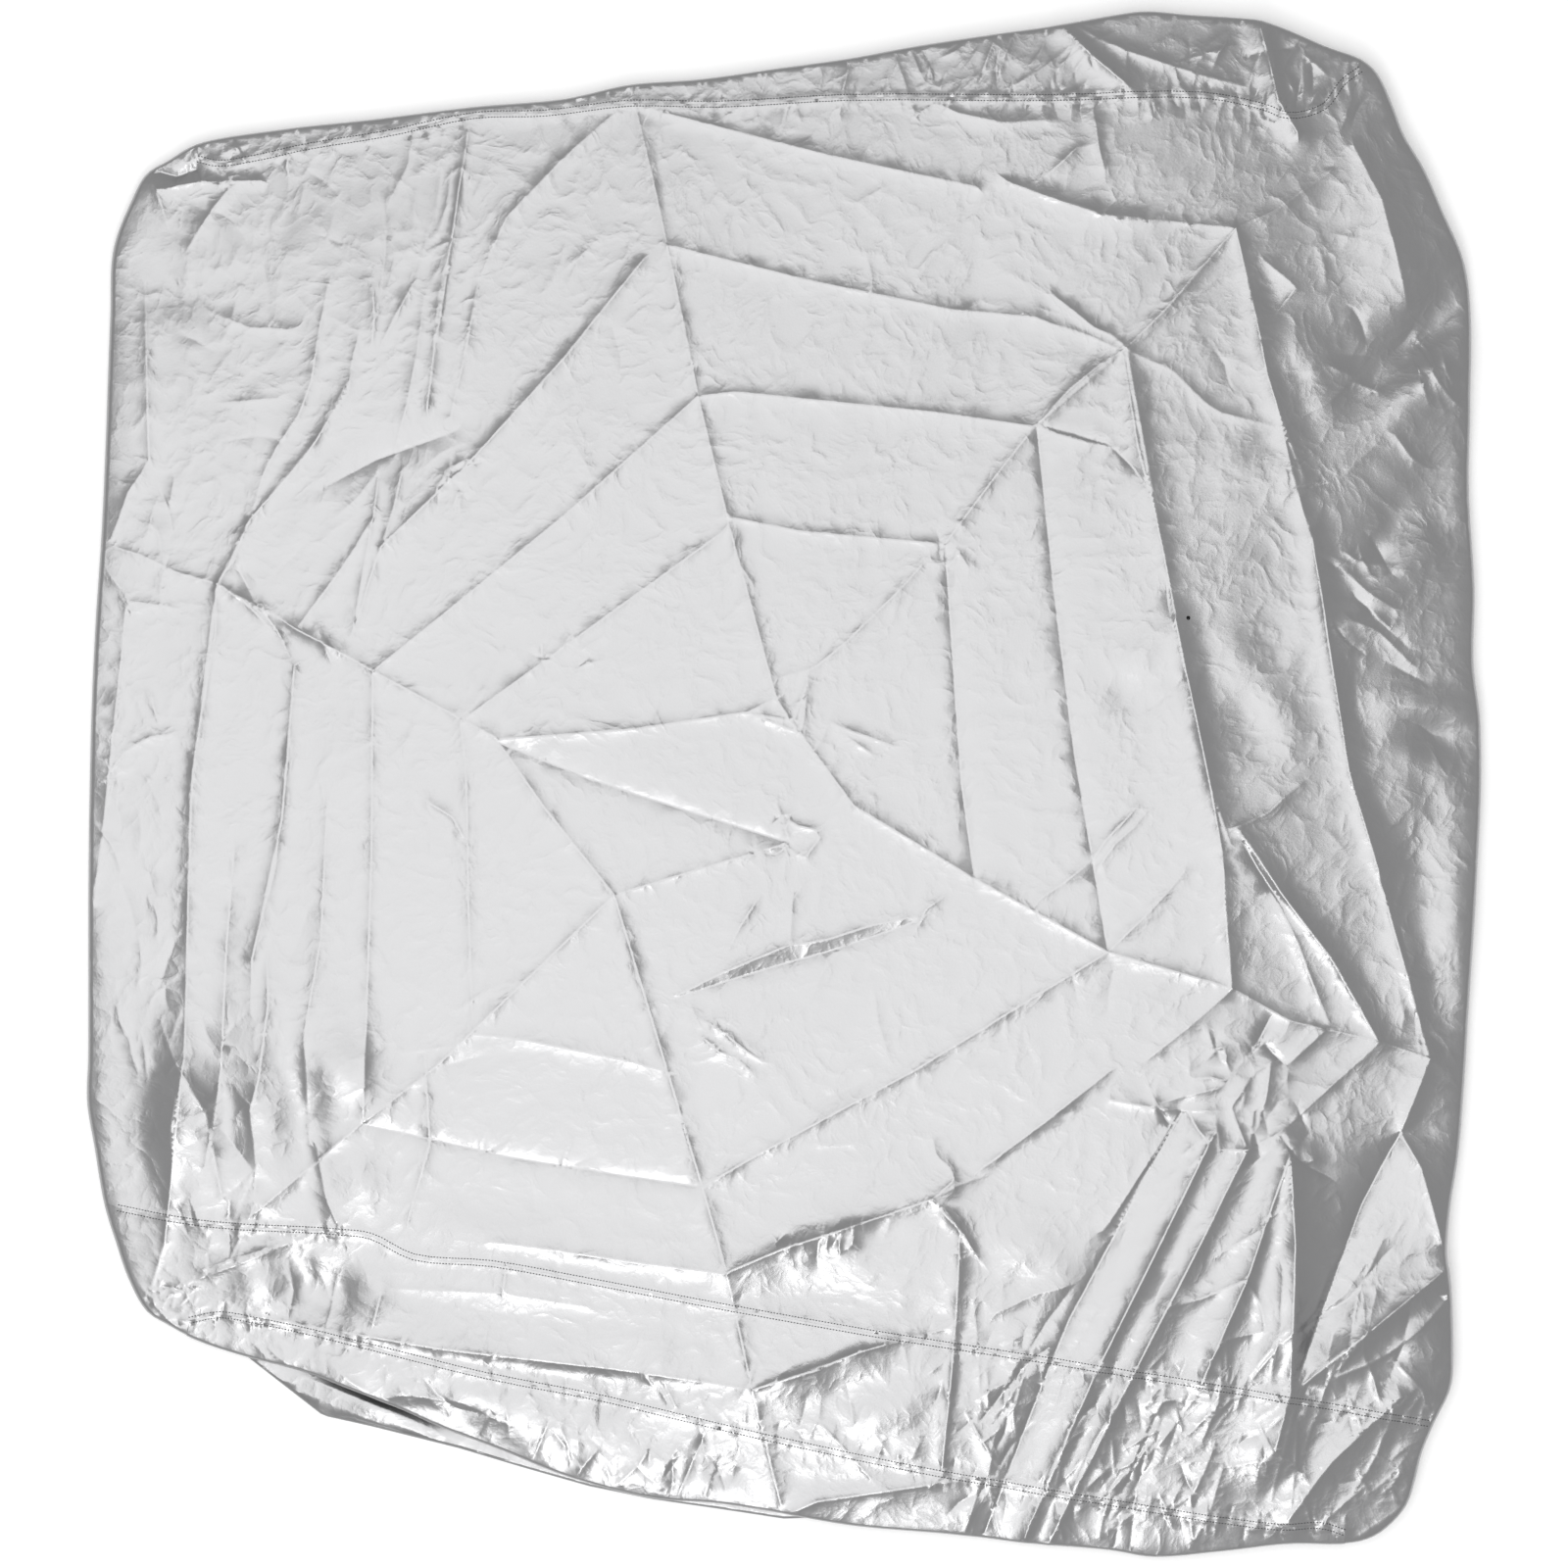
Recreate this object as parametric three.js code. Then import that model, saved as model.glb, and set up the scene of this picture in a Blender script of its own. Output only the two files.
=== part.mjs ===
import * as THREE from "three";

// A fitted patio table cover of silver-coated cloth, empty and laid flat with its walls tucked under.
// Millimetres, +Z up. X runs across the cover, -Y is its front. The origin is under the middle,
// on the surface that the cover lies on.

// Cloth and layers
const clothThickness = 1.5;
const seamGap = 0.3;
const floorLayer = clothThickness / 2;
const tuckedLayer = 2.75;
const pleatLowLayer = 5.5;
const pleatHighLayer = 9.5;
const restingLift = 18;
const lowestLift = 11.6;

// Rolled edges: the roll is wide along the two sides, and tight along the front and back.
const tightRoll = 6;
const sideRollExtra = 8;
const rollSteps = 5;
const sideWallSteps = 3;

// Walls under the cover
const hemGap = 40;
const wallTuck = 520;
const pleatDepth = 60;
const pleatTaper = 120;
const pleatTurn = 3;
const pleatTurnSteps = 4;
const pleatEndShare = 0.15;
const rampLength = 10;
const rampMargin = 4;
const leastTuck = 1;

// Spacing of the surface points, and how much of that spacing is kept clear round each
const edgeStep = 34;
const foldStep = 30;
const fieldStep = 62;
const creaseClearance = foldStep * 0.45;
const footClearance = foldStep * 0.9;
const fieldClearance = fieldStep * 0.6;
const fieldRowStep = (fieldStep * Math.sqrt(3)) / 2;
const seamEndClearance = 12;

// How finely the edge is measured along its length
const edgeDivisions = 3000;
const edgeTries = 6000;

// The edge of the upper layer, anticlockwise from the left end of the joining seam.
const coverOutline = {
  cornerFrontLeft: [[-625, -387], [-615, -420], [-603, -455], [-586, -485], [-567, -497], [-549, -507]],
  front: [
    [-530, -515], [-495, -526], [-440, -540], [-410, -551], [-350, -575], [-320, -589], [-260, -612],
    [-200, -636], [-122, -656], [-60, -661], [-2, -670], [60, -681], [150, -689], [220, -697],
    [300, -704], [338, -710], [400, -705], [463, -698], [515, -698],
  ],
  cornerFrontRight: [[536, -694], [552, -685], [572, -663], [580, -640], [586, -615], [597, -588]],
  right: [
    [613, -553], [615, -520], [613, -460], [609, -430], [612, -390], [620, -340], [626, -265],
    [630, -200], [635, -120], [639, -50], [641, 0], [640, 60], [634, 110], [635, 180], [630, 265],
    [631, 350], [628, 470], [604, 530],
  ],
  cornerBackRight: [[588, 566], [570, 596], [560, 622], [551, 643], [543, 656], [530, 666]],
  back: [
    [500, 677], [455, 696], [433, 702], [370, 707], [331, 710], [300, 706], [250, 697], [200, 690],
    [120, 678], [60, 667], [-5, 658], [-78, 648], [-142, 643], [-203, 630], [-283, 623], [-380, 611],
    [-462, 602], [-541, 588],
  ],
  left: [
    [-567, 573], [-586, 562], [-601, 535], [-617, 492], [-620, 430], [-624, 320], [-628, 230],
    [-634, 140], [-638, 40], [-640, -100], [-640, -250], [-641, -292], [-634, -335],
  ],
};

// Where one piece of cloth ends and the next begins on the rolled edge.
const seamEnds = {
  joinLeft: [-625, -387],
  frontLeft: [-549, -507],
  frontRight: [515, -698],
  joinRight: [597, -588],
  backRight: [530, 666],
  backLeft: [-541, 588],
};

// Seams over the upper layer, left to right.
const backSeam = [
  [-538, 574], [-520, 570], [-480, 576], [-440, 585], [-366, 597], [-284, 614], [-220, 616],
  [-142, 625], [-60, 624], [60, 630], [240, 629], [385, 631], [440, 620], [461, 612], [495, 621],
  [512, 643], [528, 655],
];
const joinSeam = [
  [-611, -389], [-565, -398], [-511, -405], [-408, -411], [-379, -415], [-340, -434], [-268, -440],
  [-175, -457], [-49, -481], [77, -503], [225, -526], [382, -550], [541, -577], [590, -586],
];
const frontSeam = [
  [-545, -492], [-518, -487], [-480, -493], [-404, -510], [-270, -543], [-175, -562], [-17, -599],
  [125, -629], [301, -659], [382, -672], [453, -681], [493, -680], [513, -686],
];

// The lower layer of the front wall, which shows past the upper one at the front left.
const frontPeek = [
  [-549, -503], [-530, -512], [-497, -526], [-425, -582], [-380, -592], [-300, -612], [-240, -630],
  [-180, -647], [-122, -659], [-60, -668], [0, -677], [60, -675], [150, -683], [220, -690],
  [300, -697], [338, -702], [400, -698], [463, -691], [515, -691],
];

// Fold lines of the upper layer. rise is the height of the crease, below 0 in a trough. left and right
// are the widths over which it fades, on either hand of someone who walks along the line.
const folds = [
  {
    part: "centre line", rise: 4, left: 80, right: 80,
    line: [[-142, 644], [-120, 553], [-98, 450], [-79, 356]],
  },
  {
    part: "centre line", rise: 4, left: 60, right: 60,
    line: [[-79, 356], [-50, 236], [-7, 78], [16, 45], [64, -20]],
  },
  {
    part: "centre line", rise: 6, left: 70, right: 70,
    line: [[64, -20], [175, -87], [297, -154], [410, -187]],
  },
  {
    part: "centre line", rise: 6, left: 60, right: 50,
    line: [[410, -187], [463, -217], [545, -236], [592, -252]],
  },
  {
    part: "long diagonal", rise: 4, left: 60, right: 60,
    line: [[-79, 356], [-200, 248], [-320, 150], [-376, 105]],
  },
  {
    part: "long diagonal", rise: 7, left: 80, right: 50,
    line: [[-128, 483], [-205, 388], [-285, 300], [-370, 218]],
  },
  {
    part: "long diagonal", rise: 4, left: 50, right: 50,
    line: [[-50, 236], [-158, 158], [-235, 102], [-292, 61]],
  },
  {
    part: "long diagonal", rise: 5, left: 60, right: 60,
    line: [[-521, 184], [-448, 142], [-378, 104], [-262, 41]],
  },
  {
    part: "long diagonal", rise: 5, left: 60, right: 60,
    line: [[-156, -102], [-320, -260], [-388, -312], [-488, -396]],
  },
  {
    part: "long diagonal", rise: 6, left: 70, right: 60,
    line: [[297, -154], [120, -263], [-27, -342], [-75, -370]],
  },
  {
    part: "cross fold", rise: 6, left: 60, right: 70,
    line: [[-79, 356], [-45, 360], [140, 341], [228, 328]],
  },
  { part: "cross fold", rise: 4, left: 40, right: 40, line: [[-50, 245], [15, 232], [148, 220]] },
  { part: "cross fold", rise: 5, left: 60, right: 50, line: [[-262, 41], [-140, 50], [-33, 66], [-6, 79]] },
  {
    part: "cross fold", rise: -5, left: 50, right: 60,
    line: [[-262, 38], [-180, 5], [-100, -21], [5, -54]],
  },
  { part: "cross fold", rise: 4, left: 50, right: 50, line: [[-156, -102], [-80, -79], [5, -54]] },
  {
    part: "cross fold", rise: -5, left: 60, right: 40,
    line: [[-386, -312], [-250, -343], [-145, -360], [-76, -370]],
  },
  {
    part: "cross fold", rise: 4, left: 45, right: 45,
    line: [[-108, 495], [20, 463], [150, 436], [230, 428]],
  },
  { part: "cross fold", rise: 4, left: 45, right: 45, line: [[-125, 620], [40, 577], [178, 547]] },
  { part: "cross fold", rise: 5, left: 50, right: 45, line: [[205, 552], [290, 522], [414, 509]] },
  {
    part: "short diagonal", rise: 5, left: 60, right: 45,
    line: [[148, 221], [200, 290], [230, 328], [314, 400]],
  },
  { part: "short diagonal", rise: 6, left: 60, right: 50, line: [[314, 400], [350, 435], [414, 509]] },
  { part: "short diagonal", rise: 4, left: 50, right: 50, line: [[-262, 38], [-220, -22], [-156, -102]] },
  { part: "short diagonal", rise: 4, left: 40, right: 40, line: [[-378, 243], [-405, 200], [-448, 142]] },
  {
    part: "short diagonal", rise: 4, left: 50, right: 40,
    line: [[-400, 370], [-430, 315], [-491, 242], [-521, 184]],
  },
  { part: "short diagonal", rise: -5, left: 45, right: 45, line: [[-424, 272], [-375, 298], [-300, 325]] },
  { part: "short diagonal", rise: 6, left: 50, right: 50, line: [[424, -335], [453, -320], [545, -237]] },
  {
    part: "right ridge", rise: 13, left: 50, right: 120,
    line: [[314, 400], [350, 200], [391, -9], [402, -65], [410, -187]],
  },
  {
    part: "right ridge", rise: 15, left: 55, right: 100,
    line: [[414, 509], [441, 386], [492, 180], [517, 13], [562, -144], [592, -252]],
  },
  {
    part: "right ridge", rise: 7, left: 40, right: 30,
    line: [[415, -42], [455, -100], [500, -158], [545, -236]],
  },
  { part: "right ridge", rise: -7, left: 60, right: 60, line: [[622, 440], [545, 360], [500, 320]] },
  { part: "right ridge", rise: 6, left: 40, right: 50, line: [[522, 585], [547, 537], [571, 443]] },
  {
    part: "right ridge", rise: 8, left: 40, right: 60,
    line: [[592, -252], [565, -320], [583, -350], [603, -420]],
  },
  {
    part: "upright fold", rise: -5, left: 60, right: 50,
    line: [[148, 221], [156, 100], [163, 0], [175, -87]],
  },
  {
    part: "upright fold", rise: -4, left: 60, right: 40,
    line: [[232, 328], [248, 175], [266, 30], [297, -154]],
  },
  { part: "upright fold", rise: 4, left: 50, right: 50, line: [[-378, 104], [-379, -60], [-386, -310]] },
  { part: "upright fold", rise: 4, left: 50, right: 50, line: [[-450, 108], [-461, -30], [-488, -160]] },
  {
    part: "upright fold", rise: 4, left: 50, right: 40,
    line: [[-521, 184], [-546, -10], [-549, -250], [-568, -420]],
  },
  { part: "upright fold", rise: 5, left: 60, right: 30, line: [[-587, 460], [-584, 330], [-583, 298]] },
  { part: "upright fold", rise: 3, left: 45, right: 45, line: [[-290, 600], [-298, 550], [-328, 345]] },
  {
    part: "lower centre line", rise: 6, left: 60, right: 60,
    line: [[-156, -102], [-96, -300], [-75, -370], [-52, -450]],
  },
  { part: "lower centre line", rise: 5, left: 50, right: 50, line: [[-52, -450], [-30, -553], [-3, -660]] },
  {
    part: "front ridge", rise: 8, left: 50, right: 20,
    line: [[-490, -488], [-320, -517], [-130, -540], [-30, -555]],
  },
  { part: "front ridge", rise: 7, left: 50, right: 20, line: [[-245, -423], [-130, -440], [-52, -450]] },
  {
    part: "front ridge", rise: 7, left: 45, right: 50,
    line: [[-52, -448], [0, -426], [55, -408], [136, -381]],
  },
  { part: "front ridge", rise: 6, left: 40, right: 45, line: [[-28, -555], [70, -520], [150, -499]] },
  {
    part: "front ridge", rise: 6, left: 25, right: 30,
    line: [[8, -668], [30, -658], [90, -649], [150, -640]],
  },
  {
    part: "front pleat", rise: 6, left: 45, right: 45,
    line: [[136, -381], [162, -412], [152, -560], [144, -640]],
  },
  {
    part: "front pleat", rise: -8, left: 40, right: 40,
    line: [[364, -301], [262, -490], [233, -560], [184, -688]],
  },
  {
    part: "front pleat", rise: 6, left: 35, right: 35,
    line: [[393, -322], [330, -450], [285, -540], [219, -696]],
  },
  {
    part: "front pleat", rise: 7, left: 35, right: 35,
    line: [[424, -335], [392, -400], [340, -500], [242, -698]],
  },
  { part: "front pleat", rise: 7, left: 40, right: 40, line: [[462, -340], [424, -452], [382, -548]] },
  {
    part: "front pleat", rise: 13, left: 50, right: 60,
    line: [[463, -340], [467, -420], [463, -557], [449, -609]],
  },
  {
    part: "front pleat", rise: -8, left: 60, right: 50,
    line: [[565, -320], [530, -385], [503, -455], [470, -545]],
  },
  { part: "front pleat", rise: 7, left: 40, right: 40, line: [[465, -558], [540, -497], [608, -443]] },
  { part: "front pleat", rise: 6, left: 40, right: 40, line: [[563, -562], [500, -622], [463, -673]] },
  { part: "front pleat", rise: -6, left: 25, right: 25, line: [[340, -580], [312, -645], [303, -700]] },
  { part: "back pleat", rise: 6, left: 25, right: 25, line: [[256, 692], [285, 665], [315, 640]] },
  { part: "back pleat", rise: 6, left: 25, right: 25, line: [[436, 696], [452, 628], [470, 597]] },
  { part: "back pleat", rise: 5, left: 20, right: 25, line: [[-560, 550], [-535, 553], [-480, 554]] },
];

// Broad swells: where air and slack cloth hold the upper layer up.
const swells = [
  { part: "right side", x: 520, y: 60, across: 190, along: 560, rise: 12 },
  { part: "back right", x: 300, y: 600, across: 300, along: 110, rise: 6 },
  { part: "front", x: 120, y: -570, across: 460, along: 130, rise: 6 },
  { part: "front right", x: 480, y: -480, across: 170, along: 190, rise: 9 },
  { part: "front left", x: -500, y: -300, across: 130, along: 170, rise: 8 },
  { part: "left hollow", x: -460, y: 20, across: 150, along: 260, rise: -3 },
  { part: "middle hollow", x: -60, y: 60, across: 300, along: 330, rise: -3 },
];

// How sharply a fold falls from its crease, and how creases that meet add up.
const foldSharpness = 1.4;
const meetingPower = 3;

const flat = (pairs) => pairs.map(([x, y]) => new THREE.Vector2(x, y));

function evenly(line, step) {
  const path = new THREE.CurvePath();
  for (let i = 1; i < line.length; i += 1) {
    path.add(new THREE.LineCurve(line[i - 1], line[i]));
  }
  return path.getSpacedPoints(Math.max(1, Math.round(path.getLength() / step)));
}

// Signed distance from a point to a line of several stretches: positive on the left hand.
function besideLine(point, line) {
  let nearest = Infinity;
  let side = 1;
  for (let i = 1; i < line.length; i += 1) {
    const along = line[i].clone().sub(line[i - 1]);
    const reach = point.clone().sub(line[i - 1]);
    const share = THREE.MathUtils.clamp(reach.dot(along) / along.lengthSq(), 0, 1);
    const away = reach.clone().addScaledVector(along, -share).length();
    if (away < nearest) {
      nearest = away;
      side = along.cross(reach) >= 0 ? 1 : -1;
    }
  }
  return nearest * side;
}

const foldLines = folds.map((fold) => ({ ...fold, points: flat(fold.line) }));

// Height of the middle of the upper layer's cloth over a point of the surface it lies on.
function lift(point) {
  let ridges = 0;
  let troughs = 0;
  for (const fold of foldLines) {
    const beside = besideLine(point, fold.points);
    const width = beside > 0 ? fold.left : fold.right;
    const share = Math.max(0, 1 - Math.abs(beside) / width);
    const height = Math.abs(fold.rise) * share ** foldSharpness;
    if (fold.rise > 0) ridges += height ** meetingPower;
    else troughs += height ** meetingPower;
  }
  let height = restingLift + ridges ** (1 / meetingPower) - troughs ** (1 / meetingPower);
  for (const swell of swells) {
    const reach = Math.hypot((point.x - swell.x) / swell.across, (point.y - swell.y) / swell.along);
    height += swell.rise * Math.exp(-reach * reach);
  }
  return Math.max(lowestLift, height);
}

// The rolled edge as one closed curve, so that neighbouring pieces share its direction at a seam.
const edgeLoop = new THREE.CatmullRomCurve3(
  Object.values(coverOutline).flat().map(([x, y]) => new THREE.Vector3(x, y, 0)),
  true,
  "centripetal",
);
edgeLoop.arcLengthDivisions = edgeDivisions;
const edgeLength = edgeLoop.getLength();

function edgeShare([x, y]) {
  let best = 0;
  let nearest = Infinity;
  for (let i = 0; i < edgeTries; i += 1) {
    const point = edgeLoop.getPointAt(i / edgeTries);
    const away = Math.hypot(point.x - x, point.y - y);
    if (away < nearest) {
      nearest = away;
      best = i / edgeTries;
    }
  }
  return best;
}

const seamShare = Object.fromEntries(
  Object.entries(seamEnds).map(([name, place]) => [name, edgeShare(place)]),
);

// Stations along the rolled edge from one seam end to the next: place, way out, and roll width.
function edgeStations(from, to) {
  const gapShare = seamGap / 2 / edgeLength;
  const start = seamShare[from] + gapShare;
  let end = seamShare[to] - gapShare;
  if (end < start) end += 1;
  const count = Math.round(((end - start) * edgeLength) / edgeStep);
  const stations = [];
  for (let i = 0; i <= count; i += 1) {
    const share = (start + ((end - start) * i) / count) % 1;
    const place = edgeLoop.getPointAt(share);
    const tangent = edgeLoop.getTangentAt(share);
    const out = new THREE.Vector2(tangent.y, -tangent.x).normalize();
    const roll = tightRoll + sideRollExtra * out.x * out.x;
    const edge = new THREE.Vector2(place.x, place.y);
    stations.push({ edge, out, roll, inset: edge.clone().addScaledVector(out, -roll) });
  }
  return stations;
}

// The middle surface of a piece of cloth. Each point knows which way the cloth's outer face looks.
class Cloth {
  constructor() {
    this.points = [];
    this.facing = [];
    this.faces = [];
  }

  add(x, y, z, facing) {
    this.points.push(new THREE.Vector3(x, y, z));
    this.facing.push(facing);
    return this.points.length - 1;
  }

  // Join a row of points to the next row outward, both in the order of the edge loop.
  strip(row, next) {
    for (let i = 1; i < row.length; i += 1) {
      this.faces.push([row[i], row[i - 1], next[i - 1]]);
      this.faces.push([row[i], next[i - 1], next[i]]);
    }
    return next;
  }

  // Give the middle surface its thickness, and close it along its cut edges.
  solid() {
    const count = this.points.length;
    const positions = [];
    for (const side of [1, -1]) {
      this.points.forEach((point, i) => {
        const moved = point.clone().addScaledVector(this.facing[i], (side * clothThickness) / 2);
        positions.push(moved.x, moved.y, moved.z);
      });
    }
    const index = [];
    const directed = new Set();
    for (const [a, b, c] of this.faces) {
      index.push(a, b, c, c + count, b + count, a + count);
      directed.add(`${a}_${b}`).add(`${b}_${c}`).add(`${c}_${a}`);
    }
    for (const edge of directed) {
      const [a, b] = edge.split("_").map(Number);
      if (!directed.has(`${b}_${a}`)) {
        index.push(b, a, a + count, b, a + count, b + count);
      }
    }
    const geometry = new THREE.BufferGeometry();
    geometry.setAttribute("position", new THREE.Float32BufferAttribute(positions, 3));
    geometry.setIndex(index);
    geometry.computeVertexNormals();
    return geometry;
  }
}

const up = new THREE.Vector3(0, 0, 1);
const down = new THREE.Vector3(0, 0, -1);

function insideLoop(point, loop) {
  let inside = false;
  for (let i = 0, j = loop.length - 1; i < loop.length; j = i, i += 1) {
    const crosses = loop[i].y > point.y !== loop[j].y > point.y;
    const slope = (loop[j].x - loop[i].x) / (loop[j].y - loop[i].y);
    if (crosses && point.x < slope * (point.y - loop[i].y) + loop[i].x) inside = !inside;
  }
  return inside;
}

// Delaunay triangles over a set of points, each anticlockwise from above.
function triangulate(points) {
  const far = 1e5;
  const all = [...points, ...flat([[-far, -far], [far, -far], [0, far]])];
  const first = points.length;
  const circle = (a, b, c) => {
    const [p, q, r] = [all[a], all[b], all[c]];
    const [bx, by, cx, cy] = [q.x - p.x, q.y - p.y, r.x - p.x, r.y - p.y];
    const twice = 2 * (bx * cy - by * cx);
    const x = (cy * (bx * bx + by * by) - by * (cx * cx + cy * cy)) / twice;
    const y = (bx * (cx * cx + cy * cy) - cx * (bx * bx + by * by)) / twice;
    return { corners: [a, b, c], x: x + p.x, y: y + p.y, reach: x * x + y * y };
  };
  let triangles = [circle(first, first + 1, first + 2)];
  points.forEach((point, i) => {
    const open = new Map();
    const kept = [];
    for (const triangle of triangles) {
      const away = (point.x - triangle.x) ** 2 + (point.y - triangle.y) ** 2;
      if (away < triangle.reach) {
        const [a, b, c] = triangle.corners;
        for (const [from, to] of [[a, b], [b, c], [c, a]]) {
          if (!open.delete(`${to}_${from}`)) open.set(`${from}_${to}`, [from, to]);
        }
      } else kept.push(triangle);
    }
    for (const [from, to] of open.values()) kept.push(circle(from, to, i));
    triangles = kept;
  });
  return triangles.map((triangle) => triangle.corners).filter((corners) => Math.max(...corners) < first);
}

// Points of the upper layer inside a piece's boundary: along the folds, at their feet, and between.
function fieldPoints(boundary) {
  const chosen = [...boundary];
  const offer = (point, clearance) => {
    const free = chosen.every((other) => other.distanceTo(point) > clearance);
    if (free && insideLoop(point, boundary)) chosen.push(point);
  };
  for (const fold of foldLines) {
    for (const point of evenly(fold.points, foldStep)) offer(point, creaseClearance);
  }
  for (const fold of foldLines) {
    const middle = evenly(fold.points, foldStep);
    for (let i = 1; i < middle.length; i += 1) {
      const way = middle[i].clone().sub(middle[i - 1]).normalize();
      const leftWay = new THREE.Vector2(-way.y, way.x);
      offer(middle[i].clone().addScaledVector(leftWay, fold.left), footClearance);
      offer(middle[i].clone().addScaledVector(leftWay, -fold.right), footClearance);
    }
  }
  const limits = new THREE.Box2().setFromPoints(boundary);
  let shifted = false;
  for (let y = limits.min.y; y < limits.max.y; y += fieldRowStep) {
    for (let x = limits.min.x + (shifted ? fieldStep / 2 : 0); x < limits.max.x; x += fieldStep) {
      offer(new THREE.Vector2(x, y), fieldClearance);
    }
    shifted = !shifted;
  }
  return chosen;
}

// The upper layer of a piece: boundary is anticlockwise. Gives the index of each boundary point.
function coverField(cloth, boundary) {
  const points = fieldPoints(boundary);
  const index = points.map((point) => cloth.add(point.x, point.y, lift(point), up));
  for (const corners of triangulate(points)) {
    const middle = new THREE.Vector2();
    corners.forEach((corner) => middle.addScaledVector(points[corner], 1 / 3));
    if (insideLoop(middle, boundary)) cloth.faces.push(corners.map((corner) => index[corner]));
  }
  return index.slice(0, boundary.length);
}

// Half a turn of cloth at each station, from one layer's height down to another's.
function rollUnder(cloth, row, stations, topHeights, lowHeights, reach) {
  let last = row;
  for (let step = 1; step <= rollSteps; step += 1) {
    const angle = Math.PI * (0.5 - step / rollSteps);
    const next = stations.map((station, i) => {
      const spread = (reach ?? station.roll) * Math.cos(angle);
      const middle = (topHeights[i] + lowHeights[i]) / 2;
      const height = middle + ((topHeights[i] - lowHeights[i]) / 2) * Math.sin(angle);
      const facing = new THREE.Vector3(
        station.out.x * Math.cos(angle),
        station.out.y * Math.cos(angle),
        Math.sin(angle),
      );
      const place = station.inset.clone().addScaledVector(station.out, spread);
      return cloth.add(place.x, place.y, height, facing);
    });
    last = cloth.strip(last, next);
  }
  return last;
}

// A side wall: under the rolled edge and in along the floor to its hem.
function sideWall(cloth, row, stations, hemX, hemFrom, hemTo) {
  const tops = stations.map((station) => lift(station.inset));
  const lows = stations.map(() => floorLayer);
  let last = rollUnder(cloth, row, stations, tops, lows);
  for (let step = 1; step <= sideWallSteps; step += 1) {
    const share = step / sideWallSteps;
    const next = stations.map((station, i) => {
      const hemY = hemFrom + ((hemTo - hemFrom) * i) / (stations.length - 1);
      const x = station.inset.x + (hemX - station.inset.x) * share;
      const y = station.inset.y + (hemY - station.inset.y) * share;
      return cloth.add(x, y, floorLayer, down);
    });
    last = cloth.strip(last, next);
  }
}

// Hem ends of the side walls, at the middle of the underside.
const leftHem = { x: -hemGap / 2, front: -478, join: -388, back: 566 };
const rightHem = { x: hemGap / 2, front: -664, join: -588, back: 650 };

// How far along Y the side walls lie on the floor, at a place across the cover.
function sideWallReach(x, atFront) {
  const side = x < leftHem.x + rampMargin ? "Left" : "Right";
  const hem = side === "Left" ? leftHem : rightHem;
  const [cornerX, cornerY] = seamEnds[(atFront ? "front" : "back") + side];
  const atCorner = atFront ? cornerY + tightRoll : cornerY - tightRoll;
  const atHem = atFront ? hem.front : hem.back;
  const share = THREE.MathUtils.clamp((x - hem.x) / (cornerX - hem.x), 0, 1);
  return THREE.MathUtils.lerp(atHem, atCorner, share);
}

// The height of a tucked wall: on the floor, and up a short ramp on to the side walls.
function tuckHeight(x, y, inward) {
  const clear = (sideWallReach(x, inward > 0) - y) * inward - rampMargin;
  const share = THREE.MathUtils.clamp(1 - clear / rampLength, 0, 1);
  return floorLayer + (tuckedLayer - floorLayer) * share;
}

// A front or back wall under the cover, from its rolled edge inward over the side walls.
function tuckUnder(cloth, row, starts, inward) {
  const toRampTop = (start) => (sideWallReach(start.x, inward > 0) - start.y) * inward - rampMargin;
  const reaches = [
    (start) => Math.max(leastTuck, toRampTop(start) - rampLength),
    (start) => Math.max(2 * leastTuck, toRampTop(start)),
    () => wallTuck / 2,
    () => wallTuck,
  ];
  let last = row;
  for (const reach of reaches) {
    const next = starts.map((start) => {
      const y = start.y + inward * reach(start);
      return cloth.add(start.x, y, tuckHeight(start.x, y, inward), down);
    });
    last = cloth.strip(last, next);
  }
}

// The points of a seam between two ends. lean is 1 for the cloth behind the seam, -1 for that in front.
function seamBetween(line, from, to, lean) {
  const clear = (point, end) => point.distanceTo(end) > seamEndClearance;
  const kept = evenly(flat(line), edgeStep).filter((point) => clear(point, from) && clear(point, to));
  kept.forEach((point) => {
    point.y += lean * (seamGap / 2);
  });
  return kept;
}

function mainPanel() {
  const right = edgeStations("joinRight", "backRight");
  const left = edgeStations("backLeft", "joinLeft");
  const rightInset = right.map((station) => station.inset);
  const leftInset = left.map((station) => station.inset);
  const lower = seamBetween(joinSeam, leftInset.at(-1), rightInset[0], 1);
  const upper = seamBetween(backSeam, leftInset[0], rightInset.at(-1), -1).reverse();
  const cloth = new Cloth();
  const index = coverField(cloth, [...lower, ...rightInset, ...upper, ...leftInset]);
  const rightRow = index.slice(lower.length, lower.length + right.length);
  const leftRow = index.slice(index.length - left.length);
  sideWall(cloth, rightRow, right, rightHem.x, rightHem.join + seamGap, rightHem.back);
  sideWall(cloth, leftRow, left, leftHem.x, leftHem.back, leftHem.join + seamGap);
  return cloth.solid();
}

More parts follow.
